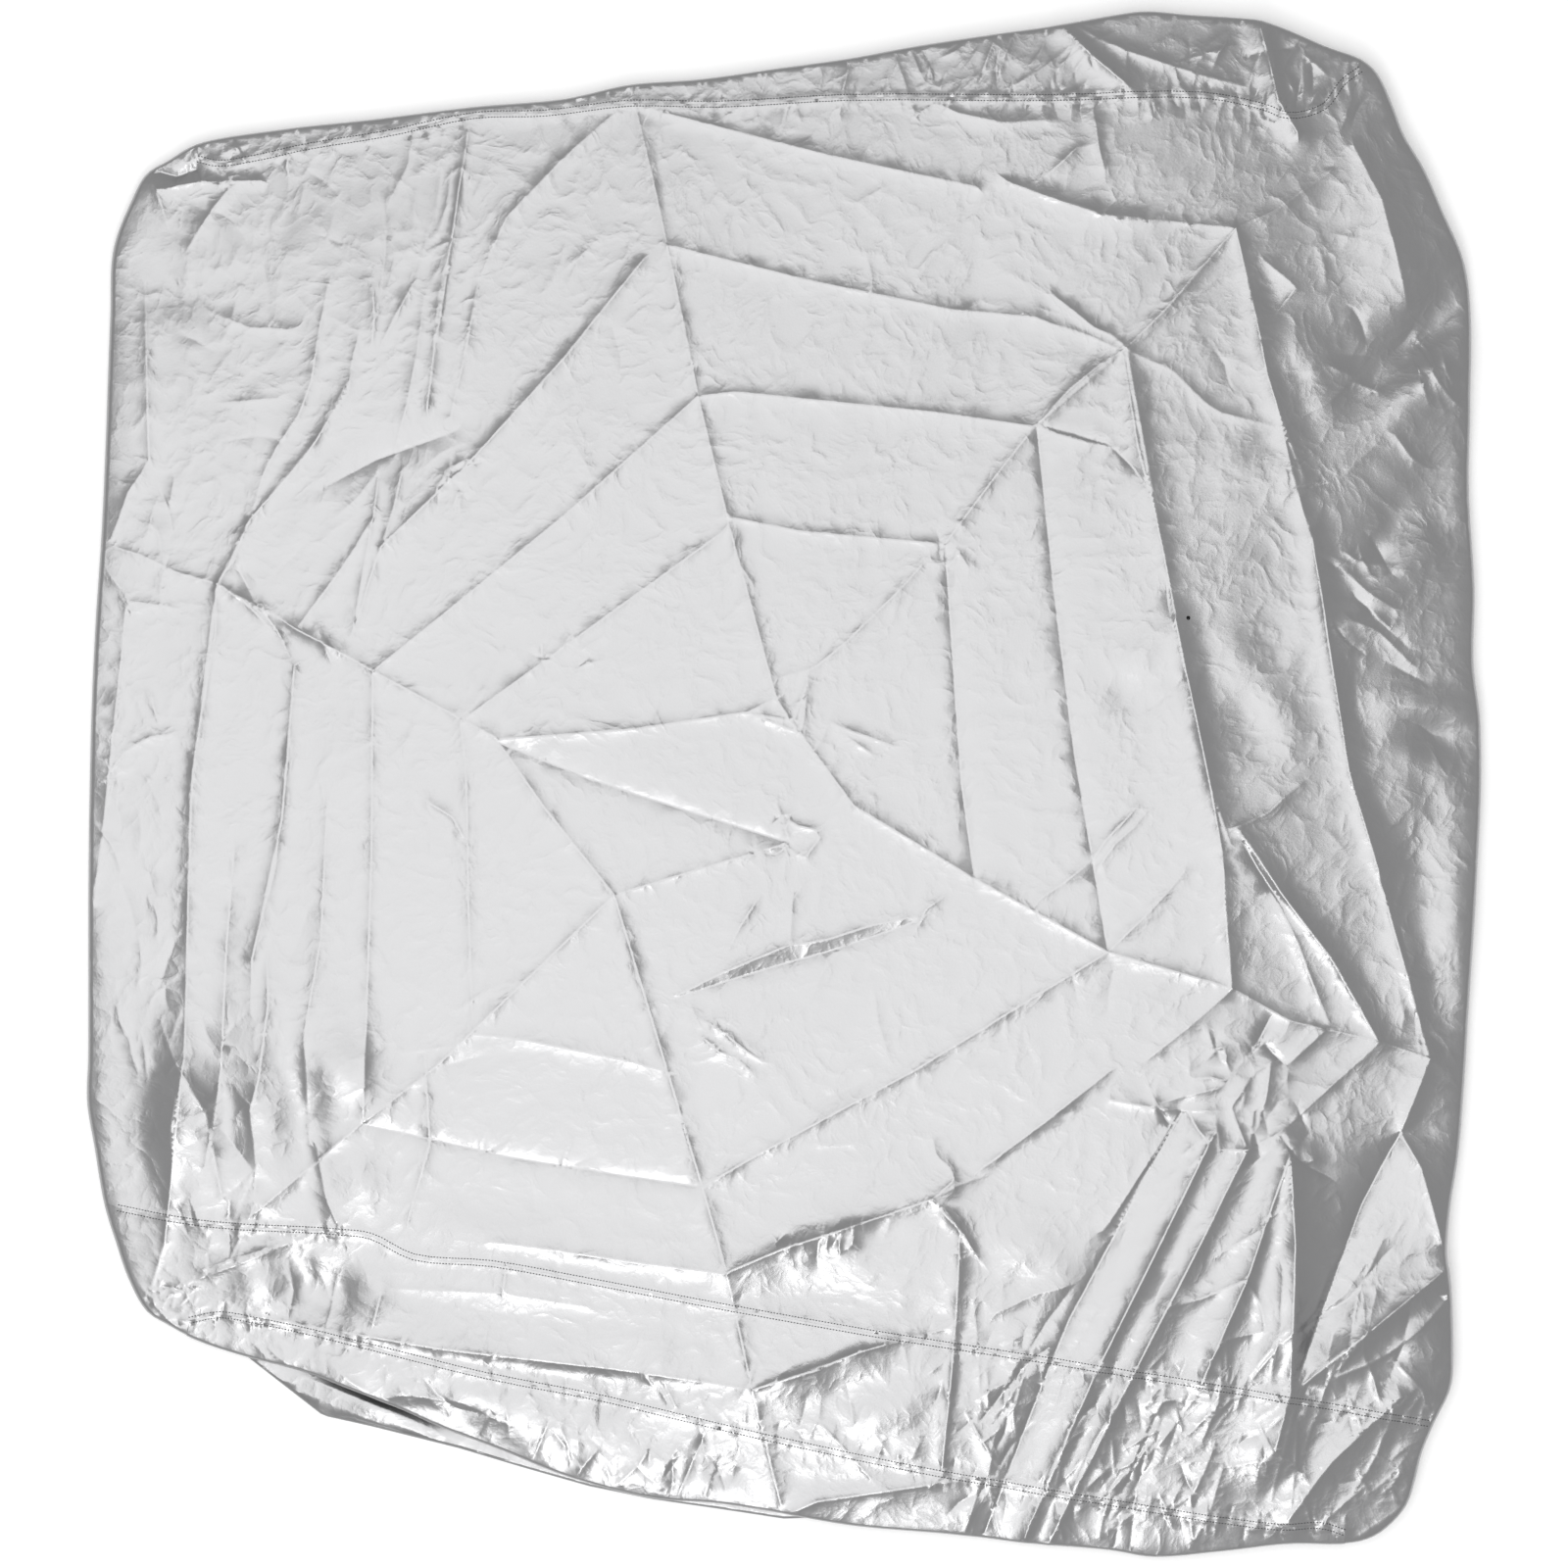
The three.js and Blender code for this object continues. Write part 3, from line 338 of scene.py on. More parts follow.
# Smaller creases, by area.
DETAILS = creases(
    # back left
    (0.8, 8, 12, (-291, 585), (-298, 550), (-303, 510), (-316, 455), (-320, 420), (-328, 345)),
    (0.7, 9, 8, (-282, 455), (-292, 400), (-300, 365), (-306, 338)),
    (0.8, 10, 10, (-378, 460), (-376, 430), (-378, 405)),
    (0.8, 10, 10, (-340, 460), (-358, 428), (-369, 405)),
    (0.7, 9, 9, (-330, 448), (-337, 395), (-346, 350), (-358, 305)),
    (0.7, 8, 9, (-390, 415), (-397, 385), (-400, 360), (-420, 330), (-440, 300), (-470, 265), (-491, 243)),
    (0.8, 6, 10, (-418, 460), (-428, 410), (-434, 370), (-445, 340), (-465, 310), (-478, 285), (-491, 243)),
    (0.9, 14, 10, (-491, 242), (-500, 220), (-510, 200), (-521, 184)),
    (0.8, 14, 10, (-155, 616), (-200, 577), (-255, 520), (-277, 470)),
    (0.7, 8, 8, (-560, 280), (-565, 250)),
    (-0.7, 10, 8, (-424, 272), (-375, 298), (-300, 325)),
    (1.2, 20, 10, (-587, 460), (-584, 330), (-583, 298)),
    (0.5, 8, 8, (-512, 350), (-480, 353), (-465, 354)),
    (0.5, 8, 8, (-530, 435), (-492, 419), (-450, 417)),
    (1.4, 8, 14, (-585, 564), (-577, 547), (-567, 544), (-555, 551), (-535, 553), (-505, 549)),
    (1.0, 8, 8, (-577, 547), (-573, 535), (-565, 510)),
    (1.2, 10, 14, (-507, 549), (-525, 528), (-546, 494)),
    (1.0, 8, 8, (-540, 589), (-520, 567), (-506, 550)),
    (1.0, 8, 16, (-433, 155), (-424, 130), (-415, 110)),
    (-1.0, 12, 12, (-500, 195), (-492, 180), (-482, 158)),
    (-1.0, 12, 12, (-478, 157), (-465, 140), (-452, 110)),
    (1.0, 14, 14, (-521, 184), (-490, 162), (-470, 140)),
    (1.0, 16, 10, (-396, 140), (-390, 175), (-383, 215), (-377, 245), (-372, 290)),
    (1.0, 8, 12, (-392, 150), (-380, 190), (-370, 218), (-358, 255), (-350, 292)),
    (0.9, 14, 14, (-521, 184), (-560, 195), (-590, 210), (-613, 217)),
    (1.0, 14, 12, (-622, 197), (-610, 180), (-604, 168), (-608, 120), (-618, 30), (-625, -40), (-636, -120)),
    (1.0, 10, 10, (-583, 298), (-590, 285), (-602, 268), (-610, 245), (-618, 225)),
    (0.8, 10, 10, (-604, 168), (-560, 162)),
    # back
    (0.9, 8, 12, (220, 433), (245, 422), (270, 415), (304, 400)),
    (1.4, 12, 16, (205, 552), (225, 543), (260, 531), (290, 522), (320, 515), (353, 514)),
    (1.0, 10, 8, (240, 557), (255, 570), (268, 583), (278, 585)),
    (0.9, 8, 8, (283, 618), (289, 580), (294, 562)),
    (1.4, 8, 10, (252, 697), (265, 688), (285, 665), (315, 640)),
    (1.3, 10, 8, (265, 697), (290, 683), (320, 670), (380, 650), (420, 640)),
    (2.0, 8, 12, (434, 700), (445, 665), (452, 628), (463, 608), (470, 597)),
    (1.0, 10, 10, (120, 613), (140, 624), (160, 615), (200, 606), (240, 608)),
    (1.3, 14, 14, (522, 585), (547, 537), (560, 490), (571, 443)),
    # middle back
    (1.0, 10, 8, (232, 330), (250, 321), (275, 314), (308, 308)),
    (-0.9, 8, 8, (240, 328), (270, 320), (300, 310), (320, 290), (335, 268)),
    (0.8, 10, 10, (148, 221), (130, 205), (108, 180), (60, 133), (30, 108), (0, 98)),
    (1.2, 10, 8, (314, 400), (300, 412), (285, 418), (270, 430), (245, 450)),
    (0.6, 12, 8, (316, 398), (335, 388), (355, 380), (385, 350), (400, 340), (440, 330), (460, 325)),
    (1.2, 10, 10, (230, 328), (262, 362), (285, 381), (310, 398)),
    # right side
    (1.3, 16, 7, (310, 396), (324, 310), (340, 245), (350, 200)),
    (1.9, 16, 6, (350, 200), (358, 150), (363, 120), (378, 55), (390, 0), (408, -55)),
    (1.2, 12, 7, (402, -70), (402, -105), (410, -187)),
    (1.5, 16, 8, (414, 509), (433, 430), (442, 375), (462, 318), (475, 285)),
    (1.9, 16, 7, (472, 265), (484, 225), (492, 175), (498, 130), (510, 60), (520, 0)),
    (1.7, 16, 8, (520, 0), (540, -58), (560, -135), (583, -215), (592, -252)),
    (-1.4, 8, 10, (350, 190), (352, 165), (357, 140)),
    (1.2, 14, 14, (480, 340), (500, 350), (520, 370), (545, 360)),
    (1.0, 10, 10, (500, 383), (520, 375)),
    (1.2, 8, 8, (583, 400), (595, 375), (610, 355), (622, 345)),
    (1.0, 8, 8, (560, 320), (575, 300), (590, 290)),
    (1.3, 14, 18, (414, 509), (450, 525), (503, 563)),
    (0.9, 8, 8, (510, 200), (535, 175), (560, 160)),
    (0.9, 8, 8, (520, 150), (545, 140), (575, 110)),
    (1.3, 14, 14, (450, 430), (470, 455), (440, 480)),
    # middle
    (0.9, 10, 10, (-33, 65), (10, 58)),
    (0.9, 10, 10, (-33, 65), (16, 46)),
    (0.9, 10, 10, (10, 60), (22, 97), (16, 47)),
    (0.8, 8, 8, (45, 55), (100, 35)),
    (0.8, 8, 8, (52, 47), (80, 28)),
    (1.0, 8, 8, (3, -28), (10, -38), (28, -42), (33, -50), (25, -60), (20, -68), (5, -60)),
    (0.8, 8, 8, (-20, -100), (-40, -130), (-50, -150)),
    (0.7, 8, 8, (8, -100), (5, -147)),
    (0.9, 6, 6, (282, -71), (296, -50), (313, -33), (325, -18)),
    (0.8, 6, 6, (288, -77), (303, -55), (320, -40), (333, -24)),
    (0.8, 8, 8, (280, -72), (255, -92), (235, -105), (230, -112)),
    (1.0, 14, 14, (297, -154), (330, -122), (352, -98), (368, -78)),
    (1.0, 18, 18, (410, -188), (370, -223), (332, -253)),
    (1.3, 12, 6, (-100, -195), (-60, -175), (0, -150), (40, -143), (80, -130), (120, -122)),
    (-1.0, 6, 10, (-100, -197), (-50, -180), (0, -165), (40, -154), (100, -134), (118, -127)),
    (1.0, 6, 6, (125, -128), (130, -115), (145, -105)),
    (0.8, 14, 14, (-285, -230), (-250, -233), (-200, -243), (-150, -253), (-104, -265)),
    (1.2, 8, 8, (-80, -215), (-66, -222), (-50, -233), (-34, -246), (-20, -255)),
    (1.0, 8, 8, (-75, -232), (-60, -246), (-45, -250)),
    # left
    (1.0, 14, 14, (-378, 104), (-400, 118), (-448, 142), (-482, 166)),
    (0.9, 14, 14, (-625, 3), (-605, 30), (-583, 43), (-562, 46)),
    (0.9, 8, 8, (-330, -15), (-305, -30), (-298, -42), (-290, -58)),
    (1.0, 14, 12, (-475, -158), (-473, -200), (-481, -270), (-490, -300), (-484, -345), (-485, -370)),
    (0.8, 14, 14, (-298, 60), (-293, 20), (-291, -30), (-290, -110), (-286, -220)),
    (0.8, 6, 14, (-450, 108), (-452, 70), (-461, -30), (-468, -80), (-488, -160), (-489, -210)),
    (1.4, 30, 12, (-521, 184), (-522, 140), (-532, 80), (-543, 10), (-545, -60), (-549, -165)),
    (1.6, 12, 26, (-549, -250), (-553, -270), (-561, -315), (-562, -365), (-568, -420), (-580, -460)),
    (1.3, 26, 14, (-420, -20), (-425, -140), (-440, -230), (-436, -330)),
    (-1.4, 24, 16, (-505, -60), (-512, -150), (-516, -260), (-530, -350)),
    (1.2, 20, 20, (-330, -250), (-325, -330), (-345, -400)),
    (1.4, 20, 12, (-430, -330), (-420, -380), (-400, -425)),
    # front left
    (-1.4, 8, 10, (-508, -435), (-510, -400), (-508, -385)),
    (1.3, 14, 10, (-508, -435), (-495, -410), (-485, -385)),
    (1.0, 10, 10, (-508, -437), (-540, -448)),
    (1.0, 10, 10, (-508, -437), (-480, -428), (-455, -420)),
    (1.6, 12, 16, (-410, -450), (-415, -480), (-420, -500)),
    (1.2, 12, 12, (-455, -440), (-450, -465), (-456, -492)),
    (1.6, 20, 20, (-560, -250), (-530, -300), (-515, -380)),
    (0.8, 20, 20, (-360, -463), (-260, -467), (-180, -480)),
    (0.9, 8, 8, (-370, -470), (-378, -500)),
    (0.9, 8, 8, (-255, -440), (-258, -470)),
    (1.6, 16, 10, (-560, -462), (-500, -440), (-450, -420), (-400, -402)),
    (1.6, 14, 8, (-420, -575), (-350, -560), (-300, -566), (-250, -588)),
    (-2.0, 12, 8, (-330, -545), (-318, -560), (-300, -572), (-262, -580)),
    # front middle
    (3.4, 40, 9, (-490, -488), (-320, -517), (-130, -540), (-30, -555)),
    (2.0, 36, 8, (-270, -420), (-245, -423), (-130, -440), (-52, -450)),
    (3.2, 8, 24, (-28, -555), (30, -537), (70, -520), (105, -511)),
    (3.0, 22, 8, (100, -394), (80, -400), (55, -408), (0, -425), (-52, -448)),
    (1.2, 8, 14, (137, -330), (140, -342), (152, -352), (157, -363), (136, -381)),
    (1.0, 10, 10, (136, -381), (160, -368), (180, -360)),
    (1.4, 18, 5, (175, -358), (240, -310), (300, -262)),
    (0.9, 5, 5, (136, -381), (150, -398), (165, -410), (172, -425), (182, -438)),
    (0.9, 5, 5, (142, -384), (156, -400), (168, -420), (178, -436)),
    (1.2, 5, 8, (160, -410), (161, -440), (160, -465), (157, -510), (152, -560), (147, -600), (144, -640)),
    (0.9, 8, 8, (-130, -540), (-118, -555)),
    (0.9, 8, 8, (-110, -550), (-95, -580)),
    (-1.3, 8, 8, (-70, -588), (-78, -610), (-85, -625), (-95, -648)),
    (1.2, 10, 10, (30, -583), (60, -615), (87, -645)),
    (-1.6, 5, 7, (243, -517), (225, -530), (205, -553), (182, -582)),
    (1.2, 10, 8, (262, -460), (230, -468), (195, -485)),
    (-1.2, 8, 8, (262, -465), (240, -495), (222, -525)),
    (1.0, 8, 8, (168, -578), (180, -600), (190, -615), (197, -625)),
    (1.0, 8, 8, (180, -640), (172, -668), (165, -690)),
    # front right
    (1.3, 10, 8, (300, -290), (345, -298), (400, -300)),
    (1.0, 12, 8, (345, -292), (400, -278)),
    (-1.4, 4, 4, (343, -297), (353, -311)),
    (1.6, 4, 12, (363, -300), (345, -330), (300, -400), (292, -410)),
    (1.6, 12, 4, (365, -303), (335, -355), (310, -400), (300, -418)),
    (0.9, 5, 5, (370, -300), (378, -315), (388, -328)),
    (1.0, 8, 8, (410, -298), (424, -335), (395, -335)),
    (1.0, 8, 8, (430, -300), (427, -330)),
    (1.0, 8, 8, (427, -270), (410, -295)),
    (1.4, 12, 5, (446, -255), (443, -275), (440, -298)),
    (-1.6, 4, 5, (446, -213), (435, -235), (425, -248)),
    (-1.6, 4, 5, (438, -235), (448, -247), (460, -257)),
    (1.3, 10, 10, (500, -222), (480, -240), (462, -257)),
    (-1.6, 5, 6, (455, -322), (465, -338), (480, -350), (500, -360)),
    (1.6, 14, 6, (447, -100), (470, -145), (485, -185), (500, -221)),
    (-2.2, 8, 5, (419, -52), (433, -77), (455, -110)),
    (1.6, 10, 5, (418, -42), (455, -100), (500, -158), (525, -200), (545, -236)),
    (1.2, 8, 10, (408, -42), (425, -35), (445, -25), (455, -15), (475, 2)),
    (1.6, 8, 14, (462, -340), (441, -400), (424, -452), (400, -505), (382, -548)),
    (1.2, 10, 10, (424, -452), (385, -470), (350, -480)),
    (1.2, 10, 10, (424, -455), (437, -480), (440, -500), (405, -508), (385, -530)),
    (2.0, 10, 16, (463, -340), (466, -380), (468, -460), (466, -500), (463, -557)),
    (1.4, 8, 12, (424, -335), (410, -360), (362, -460), (320, -540), (283, -605), (242, -698)),
    (1.4, 12, 8, (393, -322), (375, -360), (330, -450), (285, -540), (248, -620), (219, -696)),
    (-1.4, 10, 10, (565, -320), (550, -345), (530, -385), (515, -425), (490, -490), (478, -525)),
    (1.3, 10, 12, (465, -558), (500, -527), (540, -497), (580, -465), (608, -443)),
    (1.2, 10, 10, (505, -543), (535, -531), (553, -522), (585, -497), (612, -468)),
    (1.2, 6, 8, (553, -522), (570, -540), (585, -555), (590, -570), (596, -583)),
    (1.2, 10, 10, (561, -566), (555, -585), (548, -600), (543, -614), (535, -630), (522, -648)),
    (1.0, 8, 8, (543, -614), (562, -627), (580, -640)),
    (1.2, 12, 10, (449, -609), (475, -630), (480, -640)),
    (1.0, 10, 10, (394, -605), (385, -630), (375, -650), (353, -667)),
    (1.0, 8, 8, (373, -652), (373, -680), (375, -695)),
    (1.2, 8, 8, (340, -580), (322, -615), (312, -645), (303, -700)),
    (1.0, 8, 8, (315, -628), (302, -645), (290, -655)),
    (1.0, 8, 8, (345, -550), (330, -570)),
)

# Soft rounded folds. left and right are the distances over which each fades.
SOFT_FOLDS = creases(
    # right side
    (-8, 26, 24, (650, 490), (600, 430), (555, 385), (500, 335)),
    (6.5, 26, 24, (650, 430), (600, 380), (560, 340), (520, 310)),
    (-4, 22, 20, (640, 330), (600, 290), (560, 240), (536, 180)),
    (4, 18, 18, (630, 215), (605, 222), (575, 205), (545, 175), (520, 130)),
    (-3, 14, 14, (606, 275), (603, 240), (616, 212), (626, 190)),
    (2.6, 10, 12, (490, 182), (506, 165), (516, 135), (532, 118)),
    (3.5, 12, 14, (536, 74), (560, 78), (590, 72), (640, 62)),
    (-3, 18, 18, (556, 46), (600, 44), (640, 30)),
    (3, 12, 14, (520, 8), (545, 22), (575, 30), (602, 20), (612, -10), (626, -40)),
    (-3.5, 16, 20, (560, -20), (580, -60), (590, -110)),
    (3.5, 20, 16, (630, -70), (612, -130), (618, -190)),
    (-3, 20, 20, (600, -170), (606, -220), (600, -260)),
    (3, 12, 22, (352, 148), (334, 122), (306, 88)),
    (-2.4, 20, 20, (330, 100), (300, 66)),
    (3, 20, 18, (405, 150), (425, 105), (452, 60), (470, 20)),
    (-3.4, 22, 24, (440, 110), (430, 60), (450, 10)),
    (-3, 16, 16, (432, 470), (446, 450), (466, 436)),
    (5, 24, 30, (505, 610), (522, 585), (547, 537), (571, 443), (580, 400)),
    (3, 20, 20, (455, 425), (480, 395), (500, 360)),
    # left side and back left
    (-1.4, 22, 20, (-424, 272), (-405, 288), (-375, 298), (-345, 306), (-300, 325)),
    (2, 20, 20, (-600, 420), (-590, 340), (-596, 290)),
    (-2.2, 20, 24, (-585, 500), (-560, 450), (-500, 440)),
    (2, 26, 26, (-470, 540), (-440, 500), (-430, 440)),
    # front left
    (6, 32, 26, (-550, -160), (-551, -250), (-560, -330), (-568, -420)),
    (4, 24, 22, (-476, -190), (-488, -290), (-484, -370)),
    (5, 30, 26, (-418, -225), (-412, -262), (-404, -300)),
    (-7, 24, 24, (-515, -250), (-508, -320), (-515, -380)),
    (-5, 18, 24, (-455, -235), (-440, -300), (-436, -360), (-445, -410)),
    (4, 18, 20, (-400, -330), (-386, -370), (-396, -400)),
    (3, 18, 30, (-350, -395), (-280, -412), (-210, -424)),
    (4, 16, 18, (-500, -420), (-488, -450), (-494, -484)),
    (-7, 18, 34, (-412, -436), (-415, -470), (-424, -506)),
    (-3, 13, 15, (-450, -422), (-442, -455), (-448, -492)),
    (2.6, 12, 13, (-478, -426), (-470, -455), (-476, -488)),
    (3, 24, 22, (-402, -215), (-398, -250), (-384, -290), (-350, -322)),
    (3.5, 16, 16, (-380, -440), (-372, -470), (-380, -500)),
    (3, 26, 30, (-545, -250), (-520, -310), (-512, -380)),
    (-3, 22, 24, (-590, -300), (-575, -370), (-560, -420)),
    (2.4, 30, 30, (-330, -455), (-250, -460), (-170, -475)),
    # front
    (-4, 24, 18, (100, -520), (130, -500), (190, -505)),
    (3.4, 20, 20, (60, -600), (100, -570), (110, -540)),
    (-3, 16, 20, (-60, -480), (20, -470), (90, -480)),
    (3, 24, 24, (180, -400), (230, -440), (250, -480)),
    (-3, 22, 22, (205, -420), (230, -460), (215, -500)),
    (3, 20, 20, (-330, -560), (-260, -575), (-200, -600)),
    (-3, 14, 14, (-370, -560), (-290, -585), (-240, -605)),
    (3, 18, 22, (560, -480), (585, -520), (570, -560)),
)

# Patches of short crinkles: middle, half sizes, direction in degrees, how far it strays, length, count,
# rise and width of a flank. A soft patch has rounded folds.
PATCH_FIELDS = "x y across along angle stray length count rise width soft"
Patch = namedtuple("Patch", PATCH_FIELDS, defaults=(3, False))
CRINKLES = (
    Patch(-330, 520, 60, 100, 80, 8, 80, 16, 0.3, 1.6),
    Patch(-200, 126, 22, 20, 30, 80, 20, 8, 0.8),
    Patch(-300, 278, 24, 20, 40, 60, 16, 9, 0.9),
    Patch(148, 221, 20, 20, 0, 90, 18, 7, 0.8),
    Patch(10, -50, 34, 26, 0, 90, 20, 10, 0.8),
    Patch(-62, -235, 30, 26, 140, 40, 22, 9, 0.8),
    Patch(30, -416, 34, 12, 70, 30, 16, 12, 1.0),
    Patch(475, 278, 16, 20, 60, 50, 18, 7, 0.8, 2),
    Patch(605, 370, 22, 34, 120, 30, 26, 7, 0.8, 2),
    Patch(535, 165, 36, 44, 140, 30, 32, 12, 0.9),
    Patch(560, -60, 60, 180, 120, 50, 32, 18, 0.45),
    Patch(540, 420, 60, 90, 60, 70, 30, 12, 0.5),
    Patch(-540, -300, 60, 90, 100, 40, 34, 12, 0.4),
    Patch(-590, 0, 30, 260, 95, 25, 36, 26, 0.7),
    Patch(-480, 480, 90, 80, 100, 60, 32, 18, 0.4),
    Patch(40, -570, 120, 60, 100, 50, 30, 26, 0.6),
    Patch(230, -600, 90, 70, 60, 40, 28, 34, 1.0),
    Patch(400, -600, 90, 70, 70, 50, 28, 30, 1.0),
    Patch(530, -600, 50, 60, 60, 60, 26, 18, 1.0),
    Patch(-350, -545, 130, 26, 110, 40, 22, 18, 0.6),
    Patch(-150, -600, 110, 36, 100, 60, 26, 22, 0.7),
    Patch(-566, -480, 28, 26, 60, 70, 18, 26, 0.8, 2.5),
    Patch(-480, -440, 60, 26, 90, 30, 24, 10, 0.3, 2),
    Patch(430, -290, 60, 60, 60, 70, 22, 22, 0.9),
    Patch(250, 650, 160, 24, 70, 50, 22, 30, 0.9),
    Patch(480, 640, 50, 34, 100, 50, 22, 18, 1.1),
    Patch(-500, 575, 50, 16, 70, 60, 18, 14, 1.0),
    Patch(-100, 625, 140, 14, 70, 40, 18, 16, 0.7),
    Patch(0, 0, 560, 560, 60, 60, 44, 110, 0.3, 2),
    # wider ones, which make facets
    Patch(575, 40, 55, 330, 100, 40, 120, 22, 1.9, 24, True),
    Patch(470, -10, 40, 220, 60, 50, 80, 12, 1.4, 20, True),
    Patch(540, 440, 60, 90, 60, 50, 100, 10, 1.8, 22, True),
    Patch(-40, -570, 230, 46, 70, 40, 60, 20, 1.8, 15, True),
    Patch(-320, -545, 170, 30, 110, 40, 50, 12, 2.2, 15, True),
    Patch(-150, -615, 190, 20, 80, 50, 40, 14, 2.0, 14),
    Patch(280, -600, 120, 80, 66, 30, 80, 20, 1.5, 16),
    Patch(470, -600, 110, 80, 50, 50, 70, 16, 1.6, 18),
    Patch(100, -450, 150, 40, 60, 60, 60, 12, 1.8, 18, True),
    Patch(500, -430, 90, 90, 70, 40, 80, 10, 2.6, 22),
    Patch(-520, -330, 80, 130, 93, 15, 150, 16, 2.0, 20, True),
    Patch(-560, 60, 50, 260, 95, 20, 120, 14, 1.2, 18, True),
    Patch(-440, 460, 140, 90, 80, 40, 110, 14, 1.0, 18, True),
    Patch(250, 650, 240, 26, 60, 60, 46, 16, 1.3, 14),
    Patch(430, 300, 50, 90, 40, 60, 80, 8, 1.4, 20, True),
    Patch(0, 0, 500, 500, 60, 90, 140, 60, 1.1, 28, True),
)

# Puckers across a seam: line, stretch along X, spacing, reach to either side, and rise.
Pucker = namedtuple("Pucker", "seam start end spacing reach rise")
PUCKERS = (
    Pucker(JOIN_SEAM_PLACES, -560, -400, 5, 8, 0.7),
    Pucker(JOIN_SEAM_PLACES, 150, 320, 8, 10, 0.9),
    Pucker(JOIN_SEAM_PLACES, -380, 150, 26, 8, 0.5),
    Pucker(JOIN_SEAM_PLACES, 320, 590, 11, 12, 0.9),
    Pucker(FRONT_SEAM_PLACES, -545, -380, 6, 9, 0.9),
    Pucker(FRONT_SEAM_PLACES, -380, 120, 16, 9, 0.7),
    Pucker(FRONT_SEAM_PLACES, 120, 513, 9, 11, 0.9),
    Pucker(BACK_SEAM_PLACES, -538, -280, 14, 8, 0.7),
    Pucker(BACK_SEAM_PLACES, -280, 180, 24, 8, 0.5),
    Pucker(BACK_SEAM_PLACES, 180, 528, 9, 10, 0.9),
)

# Broad swells: where air and slack cloth hold the upper layer up.
Swell = namedtuple("Swell", "x y across along rise")
SWELLS = (
    Swell(400, 60, 200, 560, 12),
    Swell(428, -50, 90, 130, 4),
    Swell(300, 600, 300, 110, 6),
    Swell(120, -570, 460, 130, 6),
    Swell(480, -480, 170, 190, 9),
    Swell(-500, -300, 130, 170, 8),
    Swell(-460, 20, 150, 260, -3),
    Swell(-60, 60, 300, 330, -3),
    Swell(-370, -550, 110, 50, 6),
)

# Hem ends of the side walls, at the middle of the underside.
LEFT_HEM = {"x": -HEM_GAP / 2, "front": -478, "join": -388, "back": 566}
RIGHT_HEM = {"x": HEM_GAP / 2, "front": -664, "join": -588, "back": 650}


def evenly(line, step):
    """Evenly spaced points along a line of several stretches."""
    line = np.array(line, float)
    lengths = np.hypot(*np.diff(line, axis=0).T)
    along = np.concatenate([[0], np.cumsum(lengths)])
    marks = np.linspace(0, along[-1], max(2, round(along[-1] / step) + 1))
    return np.stack([np.interp(marks, along, line[:, 0]), np.interp(marks, along, line[:, 1])], 1)


def beside(points, line):
    """Signed distance from each point to a line, positive on its left hand, how far along it lies, and
    the line's length."""
    line = np.array(line, float)
    nearest = np.full(len(points), np.inf)
    side = np.ones(len(points))
    sureness = np.zeros(len(points))
    along = np.zeros(len(points))
    start = 0.0
    for a, b in zip(line[:-1], line[1:]):
        way = b - a
        length = math.hypot(*way)
        reach = points - a
        share = np.clip(reach @ way / length**2, 0, 1)
        away = np.hypot(reach[:, 0] - share * way[0], reach[:, 1] - share * way[1])
        cross = (way[0] * reach[:, 1] - way[1] * reach[:, 0]) / length
        closer = away < nearest - 1e-6
        tied = (np.abs(away - nearest) <= 1e-6) & (np.abs(cross) > sureness)
        pick = closer | tied
        side = np.where(pick, np.where(cross >= 0, 1.0, -1.0), side)
        sureness = np.where(pick, np.abs(cross), sureness)
        along = np.where(closer, start + share * length, along)
        nearest = np.where(closer, away, nearest)
        start += length
    return nearest * side, along, start


def near_creases(points, some_creases, widths=1, margin=0):
    """For each crease with points near it, within some of its widths and a margin: the crease, which
    points they are, their distance from it, its width on their side, how far along it they lie, and
    its length."""
    for crease in some_creases:
        line = np.array(crease.line, float)
        reach = widths * max(crease.left, crease.right) + margin
        inside = (points > line.min(0) - reach) & (points < line.max(0) + reach)
        picked = np.flatnonzero(inside.all(1))
        if len(picked):
            away, along, length = beside(points[picked], line)
            width = np.where(away > 0, crease.left, crease.right)
            yield crease, picked, away, width, along, length


def ends_fade(along, length, share, least):
    """Grows from the least at both ends of a line to 1 at a share of its length further in."""
    inward = np.clip(np.minimum(along, length - along) / (share * length), 0, 1)
    return least + (1 - least) * inward


def wavering(along, waves, share, starts):
    """Varies below 1 along a line, as two waves rise and fall together."""
    return 1 - share + share * np.sin(along / waves[0] + starts[0]) * np.sin(along / waves[1] + starts[1])


def fold_heights(points):
    """The broad folds: ridges and troughs that merge where they meet."""
    ridges = np.zeros(len(points))
    troughs = np.zeros(len(points))
    for fold, picked, away, width, _, _ in near_creases(points, FOLDS):
        share = np.clip(1 - np.abs(away) / width, 0, 1)
        small = abs(fold.rise) < SMALL_FOLD
        rise = abs(fold.rise) * (SMALL_SHARE if small else 1)
        height = (rise * share ** (SMALL_SHARPNESS if small else FOLD_SHARPNESS)) ** MEETING_POWER
        if fold.rise > 0:
            ridges[picked] += height
        else:
            troughs[picked] += height
    return ridges ** (1 / MEETING_POWER) - troughs ** (1 / MEETING_POWER)


def detail_heights(points):
    """The smaller creases."""
    total = np.zeros(len(points))
    for crease, picked, away, width, along, length in near_creases(points, SMALLER_CREASES):
        share = np.clip(1 - np.abs(away) / width, 0, 1)
        total[picked] += crease.rise * share * ends_fade(along, length, CREASE_END_SHARE, CREASE_END_HEIGHT)
    return total


